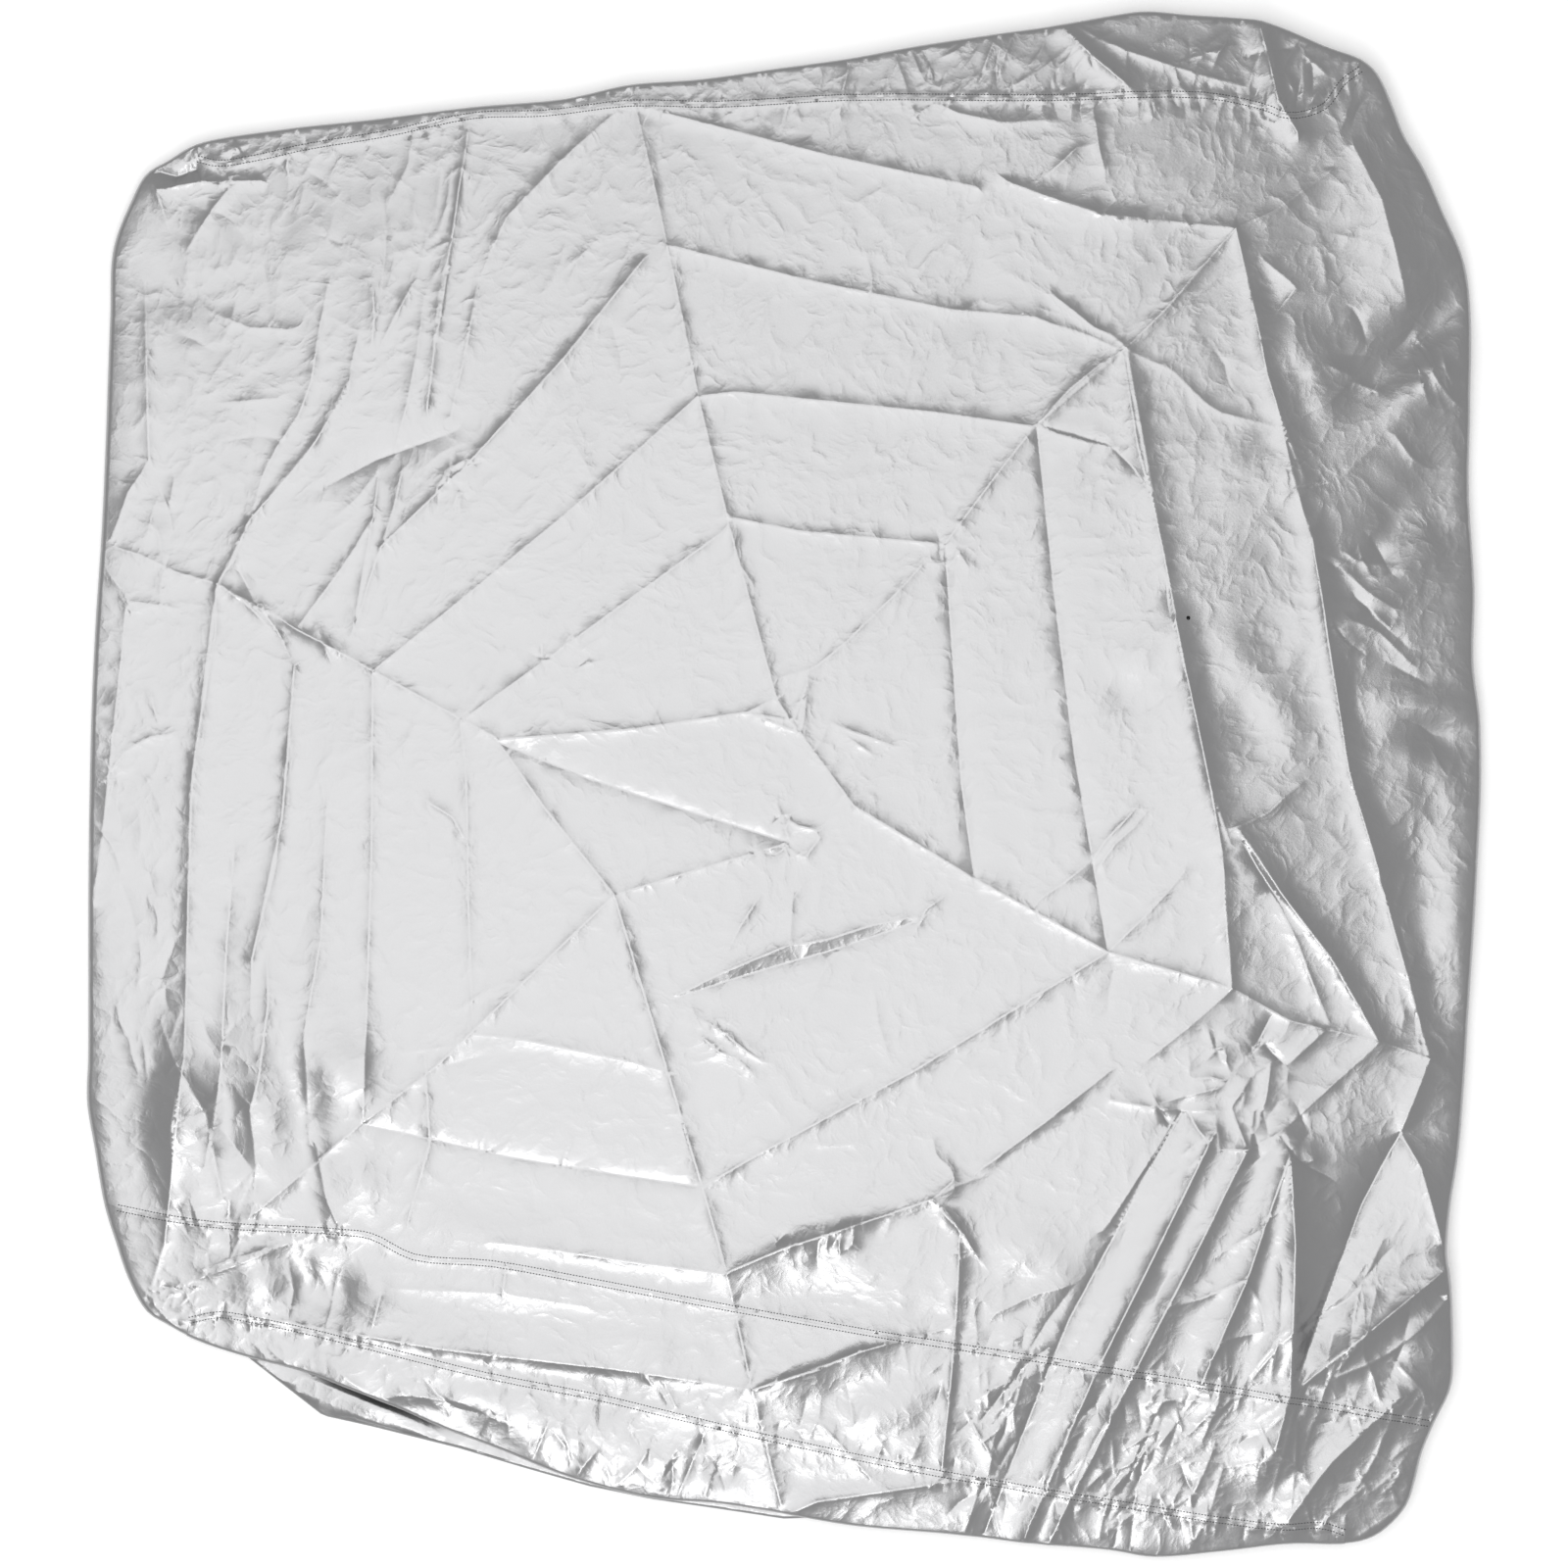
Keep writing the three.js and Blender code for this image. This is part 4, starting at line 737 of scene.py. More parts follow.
def crisp_heights(points):
    """The crisp line along every crease."""
    total = np.zeros(len(points))
    every = FOLDS + SMALLER_CREASES
    for crease, picked, away, _, along, _ in near_creases(points, every, widths=0, margin=CRISP_HALF):
        share = np.clip(1 - np.abs(away) / CRISP_HALF, 0, 1)
        crisp = math.copysign(min(CRISP_RISE, abs(crease.rise) / 2), crease.rise)
        total[picked] += crisp * share * wavering(along, CRISP_WAVES, CRISP_WAVER, crease.line[0])
    return total


def soft_heights(points):
    """The soft rounded folds."""
    total = np.zeros(len(points))
    for fold, picked, away, width, along, length in near_creases(points, SOFTER_FOLDS, SOFT_REACH):
        rounded = np.exp(-((away / width) ** 2))
        total[picked] += fold.rise * rounded * ends_fade(along, length, SOFT_END_SHARE, SOFT_END_HEIGHT)
    return total


def swell_heights(points):
    """The broad swells."""
    total = np.zeros(len(points))
    for swell in SWELLS:
        reach = np.hypot((points[:, 0] - swell.x) / swell.across, (points[:, 1] - swell.y) / swell.along)
        total += swell.rise * np.exp(-reach * reach)
    return total


def seam_heights(points):
    """The felled band along each seam."""
    total = np.zeros(len(points))
    for seam in SEAMS:
        away = np.abs(beside(points, seam)[0])
        total += BAND_RISE * np.clip((BAND_FOOT - away) / (BAND_FOOT - BAND_HALF), 0, 1)
    return total


def rim_drop(points):
    """How far the upper layer sinks towards its rolled edge, unevenly along it."""
    found = [EDGE_TREE.find((point[0], point[1], 0)) for point in points]
    away = np.array([distance for _, _, distance in found])
    along = EDGE_ALONG[[index for _, index, _ in found]]
    uneven = wavering(along, RIM_WAVES, RIM_WAVER, (0, 1))
    in_front = np.clip((RIM_BACK - points[:, 1]) / RIM_FADE, 0, 1)
    return RIM_DROP * uneven * in_front * np.clip(1 - away / RIM_REACH, 0, 1) ** 2


def lift(points):
    """Height of the middle of the upper layer's cloth."""
    height = RESTING_LIFT + fold_heights(points) + swell_heights(points) - rim_drop(points)
    height += detail_heights(points) + crisp_heights(points)
    height += soft_heights(points) + seam_heights(points)
    return np.maximum(LOWEST_LIFT, height)


def crinkles(patch):
    """Short crinkles at seeded random places in a patch."""
    made = []
    for _ in range(patch.count):
        spot = rng.uniform(-1, 1, 2)
        middle = np.array([patch.x + spot[0] * patch.across, patch.y + spot[1] * patch.along])
        angle = math.radians(patch.angle + rng.uniform(-patch.stray, patch.stray))
        half = patch.length * rng.uniform(*CRINKLE_HALF_LENGTHS)
        way = np.array([math.cos(angle), math.sin(angle)])
        bow = np.array([-way[1], way[0]]) * half * rng.uniform(*CRINKLE_BOWS)
        width = patch.width * rng.uniform(*CRINKLE_WIDTHS)
        rise = patch.rise * rng.uniform(*CRINKLE_RISES) * rng.choice((-1, 1, 1))
        line = (middle - way * half, middle + bow, middle + way * half)
        made.append(Crease(rise, width, width * rng.uniform(*CRINKLE_OTHER_SIDES), line))
    return made


def puckers(pucker):
    """Short puckers across a seam, at seeded random distances."""
    made = []
    for place in evenly(pucker.seam, pucker.spacing):
        if not pucker.start <= place[0] <= pucker.end:
            continue
        lean = rng.uniform(*PUCKER_LEANS)
        down = pucker.reach * rng.uniform(*PUCKER_REACHES)
        over = pucker.reach * rng.uniform(*PUCKER_REACHES)
        shift = rng.uniform(*PUCKER_SHIFTS) * pucker.spacing
        foot = (place[0] + shift - lean * down, place[1] - down)
        head = (place[0] + shift + lean * over, place[1] + over)
        rise = pucker.rise * rng.uniform(*PUCKER_RISES) * rng.choice((-1, 1))
        made.append(Crease(rise, rng.uniform(*PUCKER_WIDTHS), rng.uniform(*PUCKER_WIDTHS), (foot, head)))
    return made


def scattered():
    """The random short creases that are crisp, and those that are soft."""
    crisp, soft = [], []
    for patch in CRINKLES:
        (soft if patch.soft else crisp).extend(crinkles(patch))
    for pucker in PUCKERS:
        crisp.extend(puckers(pucker))
    return tuple(crisp), tuple(soft)


def smooth_curve(places, closed, pieces):
    """A centripetal curve through the places, as many short stretches."""
    places = np.array(places, float)
    if not closed:
        places = np.vstack([places, 2 * places[-1] - places[-2], 2 * places[0] - places[1]])
    share = np.linspace(0, 1, pieces, endpoint=False)[:, None]
    made = []
    for i in range(len(places) if closed else len(places) - 3):
        before, start, end, after = (places[(i + k) % len(places)] for k in (-1, 0, 1, 2))
        gaps = [math.sqrt(math.dist(a, b)) for a, b in ((before, start), (start, end), (end, after))]
        leave = (start - before) / gaps[0] - (end - before) / (gaps[0] + gaps[1]) + (end - start) / gaps[1]
        reach = (end - start) / gaps[1] - (after - start) / (gaps[1] + gaps[2]) + (after - end) / gaps[2]
        leave, reach = leave * gaps[1], reach * gaps[1]
        made.append(
            start
            + leave * share
            + (-3 * start + 3 * end - 2 * leave - reach) * share**2
            + (2 * start - 2 * end + leave + reach) * share**3
        )
    if not closed:
        made.append(places[-3:-2])
    return np.concatenate(made)


def tree_of(places):
    """A search tree for the nearest of some places."""
    tree = KDTree(len(places))
    for index, place in enumerate(places):
        tree.insert((place[0], place[1], 0), index)
    tree.balance()
    return tree


BACK_SEAM = smooth_curve(BACK_SEAM_PLACES, False, SEAM_CURVE_PIECES)
JOIN_SEAM = smooth_curve(JOIN_SEAM_PLACES, False, SEAM_CURVE_PIECES)
FRONT_SEAM = smooth_curve(FRONT_SEAM_PLACES, False, SEAM_CURVE_PIECES)
SEAMS = (BACK_SEAM, JOIN_SEAM, FRONT_SEAM)
CRISP_SHORT, SOFT_SHORT = scattered()
SMALLER_CREASES = DETAILS + CRISP_SHORT
SOFTER_FOLDS = SOFT_FOLDS + SOFT_SHORT
EDGE = smooth_curve(COVER_OUTLINE, True, EDGE_CURVE_PIECES)
CLOSED_EDGE = np.vstack([EDGE, EDGE[:1]])
EDGE_ALONG = np.concatenate([[0], np.cumsum(np.hypot(*np.diff(CLOSED_EDGE, axis=0).T))])
EDGE_TREE = tree_of(EDGE)


def edge_place(along):
    """Places on the rolled edge, by distance along it."""
    along = np.mod(along, EDGE_ALONG[-1])
    return np.stack([np.interp(along, EDGE_ALONG, CLOSED_EDGE[:, k]) for k in (0, 1)], 1)


def edge_mark(name):
    """How far along the rolled edge a seam ends."""
    away = np.hypot(*(EDGE - np.array(SEAM_ENDS[name], float)).T)
    return EDGE_ALONG[int(np.argmin(away))]


Stations = namedtuple("Stations", "out roll inset")


def edge_stations(start, end):
    """Stations along the rolled edge from one seam end to the next: ways out, roll widths and insets."""
    first, last = edge_mark(start) + SEAM_GAP / 2, edge_mark(end) - SEAM_GAP / 2
    if last < first:
        last += EDGE_ALONG[-1]
    along = np.linspace(first, last, round((last - first) / EDGE_STEP) + 1)
    edge = edge_place(along)
    tangent = edge_place(along + TANGENT_REACH) - edge_place(along - TANGENT_REACH)
    tangent /= np.hypot(*tangent.T)[:, None]
    out = np.stack([tangent[:, 1], -tangent[:, 0]], 1)
    roll = TIGHT_ROLL + SIDE_ROLL_EXTRA * out[:, 0] ** 2
    return Stations(out, roll, edge - out * roll[:, None])


class Cloth:
    """The middle surface of a piece of cloth, and the way its outer face looks at each point."""

    def __init__(self):
        self.points = []
        self.facing = []
        self.faces = []
        self.count = 0

    def add(self, places, heights, facing):
        """Add points, and give their indexes."""
        places = np.asarray(places, float)
        count = len(places)
        self.points.append(np.column_stack([places, np.broadcast_to(heights, count)]))
        self.facing.append(np.broadcast_to(facing, (count, 3)))
        self.count += count
        return np.arange(self.count - count, self.count)

    def strip(self, row, outer):
        """Join a row of points to the next row outward, both in the order of the edge."""
        self.faces.append(np.column_stack([row[1:], row[:-1], outer[:-1]]))
        self.faces.append(np.column_stack([row[1:], outer[:-1], outer[1:]]))
        return outer

    def heights(self, row):
        return np.concatenate(self.points)[row, 2]

    def normals(self, points, faces):
        """The way the surface faces at each point, on average over the faces round it."""
        total = np.zeros_like(points)
        corners = points[faces]
        across = np.cross(corners[:, 1] - corners[:, 0], corners[:, 2] - corners[:, 0])
        for k in range(3):
            np.add.at(total, faces[:, k], across)
        size = np.linalg.norm(total, axis=1, keepdims=True)
        return np.where(size > 1e-9, total / np.maximum(size, 1e-9), np.concatenate(self.facing))

    def solid(self, name):
        """Give the middle surface its thickness, close it along its cut edges, and make the object."""
        points = np.concatenate(self.points)
        faces = np.concatenate(self.faces)
        half = self.normals(points, faces) * (CLOTH_THICKNESS / 2)
        count = len(points)
        edges = np.concatenate([faces[:, [0, 1]], faces[:, [1, 2]], faces[:, [2, 0]]])
        keys = edges[:, 0] * count + edges[:, 1]
        back = edges[:, 1] * count + edges[:, 0]
        rim = edges[~np.isin(keys, back)]
        walls = np.concatenate([
            np.column_stack([rim[:, 1], rim[:, 0], rim[:, 0] + count]),
            np.column_stack([rim[:, 1], rim[:, 0] + count, rim[:, 1] + count]),
        ])
        both = np.concatenate([points + half, points - half]) * METRES
        made = mesh_object(name, both, np.concatenate([faces, faces[:, ::-1] + count, walls]))
        sharpen(made.data, np.concatenate([rim, rim + count]))
        return made


def sharpen(mesh, cut):
    """Keep the shading of the two faces apart along the cut edges."""
    found = np.empty(len(mesh.edges) * 2, np.int32)
    mesh.edges.foreach_get("vertices", found)
    found = np.sort(found.reshape(-1, 2).astype(np.int64), axis=1)
    cut = np.sort(cut, axis=1)
    size = len(mesh.vertices)
    sharp = np.isin(found[:, 0] * size + found[:, 1], cut[:, 0] * size + cut[:, 1])
    marks = mesh.attributes.new("sharp_edge", "BOOLEAN", "EDGE")
    marks.data.foreach_set("value", sharp)


def mesh_object(name, points, triangles):
    """A smooth-shaded object from points in metres and triangles."""
    mesh = bpy.data.meshes.new(name)
    mesh.vertices.add(len(points))
    mesh.vertices.foreach_set("co", np.asarray(points, np.float32).ravel())
    mesh.loops.add(triangles.size)
    mesh.loops.foreach_set("vertex_index", triangles.astype(np.int32).ravel())
    mesh.polygons.add(len(triangles))
    mesh.polygons.foreach_set("loop_start", np.arange(0, triangles.size, 3, dtype=np.int32))
    mesh.polygons.foreach_set("use_smooth", np.ones(len(triangles), bool))
    mesh.update(calc_edges=True)
    mesh.validate()
    made = bpy.data.objects.new(name, mesh)
    bpy.context.scene.collection.objects.link(made)
    return made


def inside_loop(points, loop):
    """Which points lie inside a closed line."""
    inside = np.zeros(len(points), bool)
    for a, b in zip(loop, np.roll(loop, -1, axis=0)):
        crosses = (a[1] > points[:, 1]) != (b[1] > points[:, 1])
        if crosses.any():
            slope = (b[0] - a[0]) / (b[1] - a[1]) if b[1] != a[1] else 0.0
            inside ^= crosses & (points[:, 0] < slope * (points[:, 1] - a[1]) + a[0])
    return inside


def from_pinhole(points):
    return np.hypot(*(points - PINHOLE).T)


class Spacing:
    """Keeps points apart: a point is taken only where none lies within the clearance."""

    CELL = 3.0

    def __init__(self):
        self.taken = {}

    def offer(self, point, clearance):
        reach = math.ceil(clearance / self.CELL)
        column, row = int(point[0] // self.CELL), int(point[1] // self.CELL)
        for i in range(column - reach, column + reach + 1):
            for j in range(row - reach, row + reach + 1):
                for other in self.taken.get((i, j), ()):
                    if (other[0] - point[0]) ** 2 + (other[1] - point[1]) ** 2 < clearance**2:
                        return False
        self.taken.setdefault((column, row), []).append(point)
        return True


def crease_rows(crease):
    """Points along a crease and on both sides of its crisp line."""
    middle = evenly(crease.line, CREASE_STEP)
    way = np.gradient(middle, axis=0)
    way /= np.maximum(np.hypot(*way.T), 1e-9)[:, None]
    aside = np.stack([-way[:, 1], way[:, 0]], 1) * CRISP_HALF
    return middle, np.concatenate([middle + aside, middle - aside])


def seam_rows(seam):
    """Points along both edges of a seam's band."""
    middle = evenly(seam, SEAM_STEP)
    shifts = (BAND_HALF, -BAND_HALF, BAND_FOOT, -BAND_FOOT)
    return [middle + np.array([0.0, shift]) for shift in shifts]


def grid_points(low, high, step):
    """A slightly uneven grid of triangles, clear of the seams."""
    columns = np.arange(low[0], high[0], step)
    lines = np.arange(low[1], high[1], step * math.sqrt(3) / 2)
    grid = np.stack(np.meshgrid(columns, lines), -1)
    grid[1::2, :, 0] += step / 2
    grid = grid.reshape(-1, 2) + rng.uniform(-FIELD_STRAY, FIELD_STRAY, (grid.size // 2, 2)) * step
    for seam in SEAMS:
        grid = grid[np.abs(beside(grid, seam)[0]) > SEAM_CLEARANCE]
    return grid


def field_points(boundary, step):
    """Points of the upper layer inside a boundary: along the creases, beside them, and between."""
    spacing = Spacing()
    chosen = []
    for point in boundary:
        spacing.offer(tuple(point), 0.0)
    low, high = boundary.min(0), boundary.max(0)

    def offer_all(points, clearance):
        points = points[inside_loop(points, boundary)]
        points = points[from_pinhole(points) > PINHOLE_RADIUS - PINHOLE_MARGIN]
        for point in map(tuple, points):
            if spacing.offer(point, clearance):
                chosen.append(point)

    turns = np.linspace(0, 2 * math.pi, PINHOLE_POINTS, endpoint=False)
    offer_all(PINHOLE + PINHOLE_RADIUS * np.stack([np.cos(turns), np.sin(turns)], 1), PINHOLE_CLEARANCE)
    for seam in SEAMS:
        offer_all(np.concatenate(seam_rows(seam)), SEAM_ROW_CLEARANCE)
    rows = []
    for crease in FOLDS + SMALLER_CREASES:
        line = np.array(crease.line, float)
        if (line.max(0) > low).all() and (line.min(0) < high).all():
            rows.append(crease_rows(crease))
    offer_all(np.concatenate([middle for middle, _ in rows]), CREASE_CLEARANCE)
    offer_all(np.concatenate([sides for _, sides in rows]), FLANK_CLEARANCE)
    offer_all(grid_points(low, high, step), step * FIELD_CLEARANCE)
    return np.array(chosen)


def cover_field(cloth, boundary, step):
    """The upper layer of a piece inside an anticlockwise boundary. Gives the boundary points' indexes."""
    points = np.vstack([boundary, field_points(boundary, step)])
    loop = list(range(len(boundary)))
    found = delaunay_2d_cdt([Vector(p) for p in points], [], [loop], 1, 1e-5, True)
    places = np.array([tuple(v) for v in found[0]])
    faces = np.array(found[2])
    middles = places[faces].mean(1)
    kept = inside_loop(middles, boundary) & (from_pinhole(middles) > PINHOLE_RADIUS * PINHOLE_INSIDE)
    edge_index = np.zeros(len(boundary), int)
    for new, olds in enumerate(found[3]):
        for old in olds:
            if old < len(boundary):
                edge_index[old] = new
    index = cloth.add(places, lift(places), UP)
    cloth.faces.append(index[faces[kept]])
    return index[edge_index]


def roll_under(cloth, row, stations, tops, lows):
    """Half a turn of cloth at each station, from one layer's height down to another's."""
    for step in range(1, ROLL_STEPS + 1):
        angle = math.pi * (0.5 - step / ROLL_STEPS)
        spread = stations.roll * math.cos(angle)
        heights = (tops + lows) / 2 + ((tops - lows) / 2) * math.sin(angle)
        facing = np.column_stack([stations.out * math.cos(angle), np.full(len(tops), math.sin(angle))])
        places = stations.inset + stations.out * np.reshape(spread, (-1, 1))
        row = cloth.strip(row, cloth.add(places, heights, facing))
    return row


def side_wall(cloth, row, stations, hem_x, hem_from, hem_to):
    """A side wall: under the rolled edge, in along the floor to its hem, and back over the hem's width."""
    lows = np.full(len(row), FLOOR_LAYER)
    row = roll_under(cloth, row, stations, cloth.heights(row), lows)
    hem_y = np.linspace(hem_from, hem_to, len(stations.inset))
    hem = np.column_stack([np.full(len(hem_y), hem_x), hem_y])
    for share in SIDE_WALL_SHARES:
        places = stations.inset + (hem - stations.inset) * share
        row = cloth.strip(row, cloth.add(places, lows, DOWN))
    turned = hem - np.array([math.copysign(HEM_TURN, hem_x), 0.0])
    row = cloth.strip(row, cloth.add(turned, lows + HEM_RISE, UP))
    back = stations.inset + (hem - stations.inset) * (1 - HEM_WIDTH / np.abs(stations.inset[:, :1] - hem_x))
    cloth.strip(row, cloth.add(back, lows + HEM_RISE, UP))


def side_wall_reach(x, at_front):
    """How far along Y the side walls lie on the floor, at a place across the cover."""
    made = np.zeros(len(x))
    for side, hem in (("left", LEFT_HEM), ("right", RIGHT_HEM)):
        corner = SEAM_ENDS[("front " if at_front else "back ") + side]
        at_corner = corner[1] + (TIGHT_ROLL if at_front else -TIGHT_ROLL)
        at_hem = hem["front" if at_front else "back"]
        share = np.clip((x - hem["x"]) / (corner[0] - hem["x"]), 0, 1)
        here = x < LEFT_HEM["x"] + RAMP_MARGIN
        made = np.where(here if side == "left" else ~here, at_hem + (at_corner - at_hem) * share, made)
    return made


def ramp_start(x, y, inward):
    """How much further inward a tucked wall reaches the top of its ramp."""
    return (side_wall_reach(x, inward > 0) - y) * inward - RAMP_MARGIN


def tuck_height(x, y, inward):
    """The height of a tucked wall: on the floor, and up a short ramp on to the side walls."""
    share = np.clip(1 - ramp_start(x, y, inward) / RAMP_LENGTH, 0, 1)
    return FLOOR_LAYER + (TUCKED_LAYER - FLOOR_LAYER) * share


def tuck_under(cloth, row, starts, inward):
    """A front or back wall under the cover, from its rolled edge inward over the side walls."""
    x, y = starts[:, 0], starts[:, 1]
    ramp_top = ramp_start(x, y, inward)
    reaches = [np.maximum(1, ramp_top - RAMP_LENGTH), np.maximum(2, ramp_top)]
    reaches += [np.full(len(x), WALL_TUCK * share) for share in TUCK_SHARES]
    for reach in reaches:
        places = np.column_stack([x, y + inward * reach])
        row = cloth.strip(row, cloth.add(places, tuck_height(x, places[:, 1], inward), DOWN))


def seam_between(line, start, end, shift):
    """The points of a seam between two ends, moved along Y by shift."""
    points = evenly(line, SEAM_STEP) + np.array([0.0, shift])
    clear = (np.hypot(*(points - start).T) > EDGE_STEP) & (np.hypot(*(points - end).T) > EDGE_STEP)
    return points[clear]


def two_sided(name, right_ends, left_ends, lower_seam, upper_seam, hems, step):
    """A piece that crosses the upper layer and goes round both side edges."""
    right = edge_stations(*right_ends)
    left = edge_stations(*left_ends)
    lower = seam_between(lower_seam, left.inset[-1], right.inset[0], SEAM_GAP / 2)
    upper = seam_between(upper_seam, left.inset[0], right.inset[-1], -SEAM_GAP / 2)[::-1]
    cloth = Cloth()
    index = cover_field(cloth, np.concatenate([lower, right.inset, upper, left.inset]), step)
    right_row = index[len(lower):len(lower) + len(right.inset)]
    left_row = index[len(index) - len(left.inset):]
    side_wall(cloth, right_row, right, RIGHT_HEM["x"], *hems["right"])
    side_wall(cloth, left_row, left, LEFT_HEM["x"], *hems["left"])
    return cloth.solid(name)


def main_panel():
    """The top and both side walls."""
    hems = {
        "right": (RIGHT_HEM["join"] + SEAM_GAP, RIGHT_HEM["back"]),
        "left": (LEFT_HEM["back"], LEFT_HEM["join"] + SEAM_GAP),
    }
    right_ends = ("join right", "back right")
    left_ends = ("back left", "join left")
    return two_sided("main_panel_cloth", right_ends, left_ends, JOIN_SEAM, BACK_SEAM, hems, FIELD_STEP)


def join_strip():
    """The width that the joining seam adds."""
    hems = {
        "right": (RIGHT_HEM["front"], RIGHT_HEM["join"]),
        "left": (LEFT_HEM["join"], LEFT_HEM["front"]),
    }
    right_ends = ("front right", "join right")
    left_ends = ("join left", "front left")
    return two_sided("join_strip_cloth", right_ends, left_ends, FRONT_SEAM, JOIN_SEAM, hems, NARROW_STEP)


def back_wall():
    """The wall behind the back seam, folded under the cover."""
    back = edge_stations("back right", "back left")
    lower = seam_between(BACK_SEAM, back.inset[-1], back.inset[0], SEAM_GAP / 2)
    cloth = Cloth()
    row = cover_field(cloth, np.concatenate([lower, back.inset]), NARROW_STEP)[len(lower):]
    lows = tuck_height(back.inset[:, 0], back.inset[:, 1], -1)
    row = roll_under(cloth, row, back, cloth.heights(row), lows)
    tuck_under(cloth, row, back.inset, -1)
    return cloth.solid("back_wall_cloth")


def front_wall():
    """The wall in front of the front seam, pleated back and out again before it goes under."""
    front = edge_stations("front left", "front right")
    upper = seam_between(FRONT_SEAM, front.inset[0], front.inset[-1], -SEAM_GAP / 2)[::-1]
    cloth = Cloth()
    row = cover_field(cloth, np.concatenate([front.inset, upper]), NARROW_STEP)[:len(front.inset)]
    x = front.inset[:, 0]
    open_here = np.exp(-(((x - GAP_MIDDLE) / GAP_HALF) ** 2))
    high = PLEAT_HIGH_LAYER + GAP_LIFT * open_here
    low = np.full(len(x), PLEAT_LOW_LAYER)
    row = roll_under(cloth, row, front, cloth.heights(row), high)

    # Back in under the upper layer.
    from_end = np.minimum(x - x[0], x[-1] - x)
    depth = PLEAT_DEPTH * np.minimum(1, PLEAT_END_SHARE + (1 - PLEAT_END_SHARE) * from_end / PLEAT_TAPER)
    inner = front.inset + np.column_stack([np.zeros(len(x)), depth])
    row = cloth.strip(row, cloth.add(inner, high, DOWN))
    backward = np.tile([0.0, 1.0], (len(x), 1))
    turn = np.full(len(x), float(PLEAT_TURN))
    row = roll_under(cloth, row, Stations(backward, turn, inner), high, low)

    # Out again to the edge of the lower layer.
    edge_y = np.interp(x, *np.array(FRONT_PEEK, float).T)
    lower_inset = np.column_stack([x, edge_y + PLEAT_TURN])
    edge_here = front.inset[:, 1] - front.roll
    for ahead, lifted in PEEK_ROWS:
        order = (ahead - PEEK_FIRST) / PEEK_SPAN
        nearest, furthest = lower_inset[:, 1] + PEEK_APART * (1 - order), inner[:, 1] - 1 - order
        y = np.clip(edge_here - ahead, nearest, furthest)
        ripple = rng.uniform(-RIPPLE, RIPPLE, len(x)) * (ahead > RIPPLE_START)
        raised = GAP_LIFT * lifted * open_here + ripple * open_here
        row = cloth.strip(row, cloth.add(np.column_stack([x, y]), low + raised, UP))
    row = cloth.strip(row, cloth.add(lower_inset, low, UP))
    lows = tuck_height(x, lower_inset[:, 1], 1)
    row = roll_under(cloth, row, Stations(-backward, turn, lower_inset), low, lows)
    tuck_under(cloth, row, lower_inset, 1)
    return cloth.solid("front_wall_cloth")


def stitch_shape():
    """One stitch: a short thread, thicker in the middle, dipping into the cloth at both ends."""
    sides = STITCH_SIDES
    points = []
    for along, radius, rise in STITCH_RINGS:
        for k in range(sides):
            turn = 2 * math.pi * k / sides
            points.append((along, radius * STITCH_SPREAD * math.cos(turn), rise + radius * math.sin(turn)))
    faces = []
    for ring in range(len(STITCH_RINGS) - 1):
        for k in range(sides):
            a, b = ring * sides + k, ring * sides + (k + 1) % sides
            faces += [(a, b + sides, b), (a, a + sides, b + sides)]
    last = (len(STITCH_RINGS) - 1) * sides
    for k in range(1, sides - 1):
        faces += [(0, k, k + 1), (last, last + k + 1, last + k)]
    return np.array(points), np.array(faces)


def surface_heights(places, pieces):
    """Height of the finished pieces' upper face over each place, in millimetres."""
    heights = np.full(len(places), LOWEST_LIFT)
    for k, place in enumerate(places):
        start = Vector((place[0] * METRES, place[1] * METRES, 1.0))
        for piece in pieces:
            found, spot, _, _ = piece.ray_cast(start, Vector((0, 0, -1)))
            if found:
                heights[k] = max(heights[k], spot.z / METRES)
    return heights


def stitches(name, seam, pieces):
    """Two rows of stitches along a seam, one in each of its two pieces."""
    shape, shape_faces = stitch_shape()
    points, faces = [], []
    centre = evenly(seam, STITCH_PITCH)
    way = np.gradient(centre, axis=0)
    way /= np.hypot(*way.T)[:, None]
    aside = np.stack([-way[:, 1], way[:, 0]], 1)
    for row in (-1, 1):
        places = centre + aside * (row * STITCH_ROWS_APART / 2)
        heights = surface_heights(places, pieces) + STITCH_LIFT
        slope = np.gradient(heights) / STITCH_PITCH
        for place, height, along, side, climb in zip(places, heights, way, aside, slope):
            local = (
                np.outer(shape[:, 0], [along[0], along[1], climb])
                + np.outer(shape[:, 1], [side[0], side[1], 0])
                + np.outer(shape[:, 2], [0, 0, 1])
            )
            faces.append(shape_faces + len(points) * len(shape))
            points.append(local + np.array([place[0], place[1], height]))
    return mesh_object(name, np.concatenate(points) * METRES, np.concatenate(faces))


def new_material(name):
    material = bpy.data.materials.new(name)
    material.use_nodes = True
    return material, material.node_tree, material.node_tree.nodes["Principled BSDF"]


def bumped(tree, height, strength, distance, normal=None):
    """A bump node that follows a height, on top of another bump."""
    node = tree.nodes.new("ShaderNodeBump")
    node.inputs["Strength"].default_value = strength
    node.inputs["Distance"].default_value = distance
    tree.links.new(height, node.inputs["Height"])
    if normal is not None:
        tree.links.new(normal, node.inputs["Normal"])
    return node.outputs["Normal"]


def noise(tree, place, scale, detail, kind="FBM"):
    """A noise texture over some places."""
    node = tree.nodes.new("ShaderNodeTexNoise")
    node.noise_type = kind
    node.inputs["Scale"].default_value = scale
    node.inputs["Detail"].default_value = detail
    tree.links.new(place, node.inputs["Vector"])
    return node


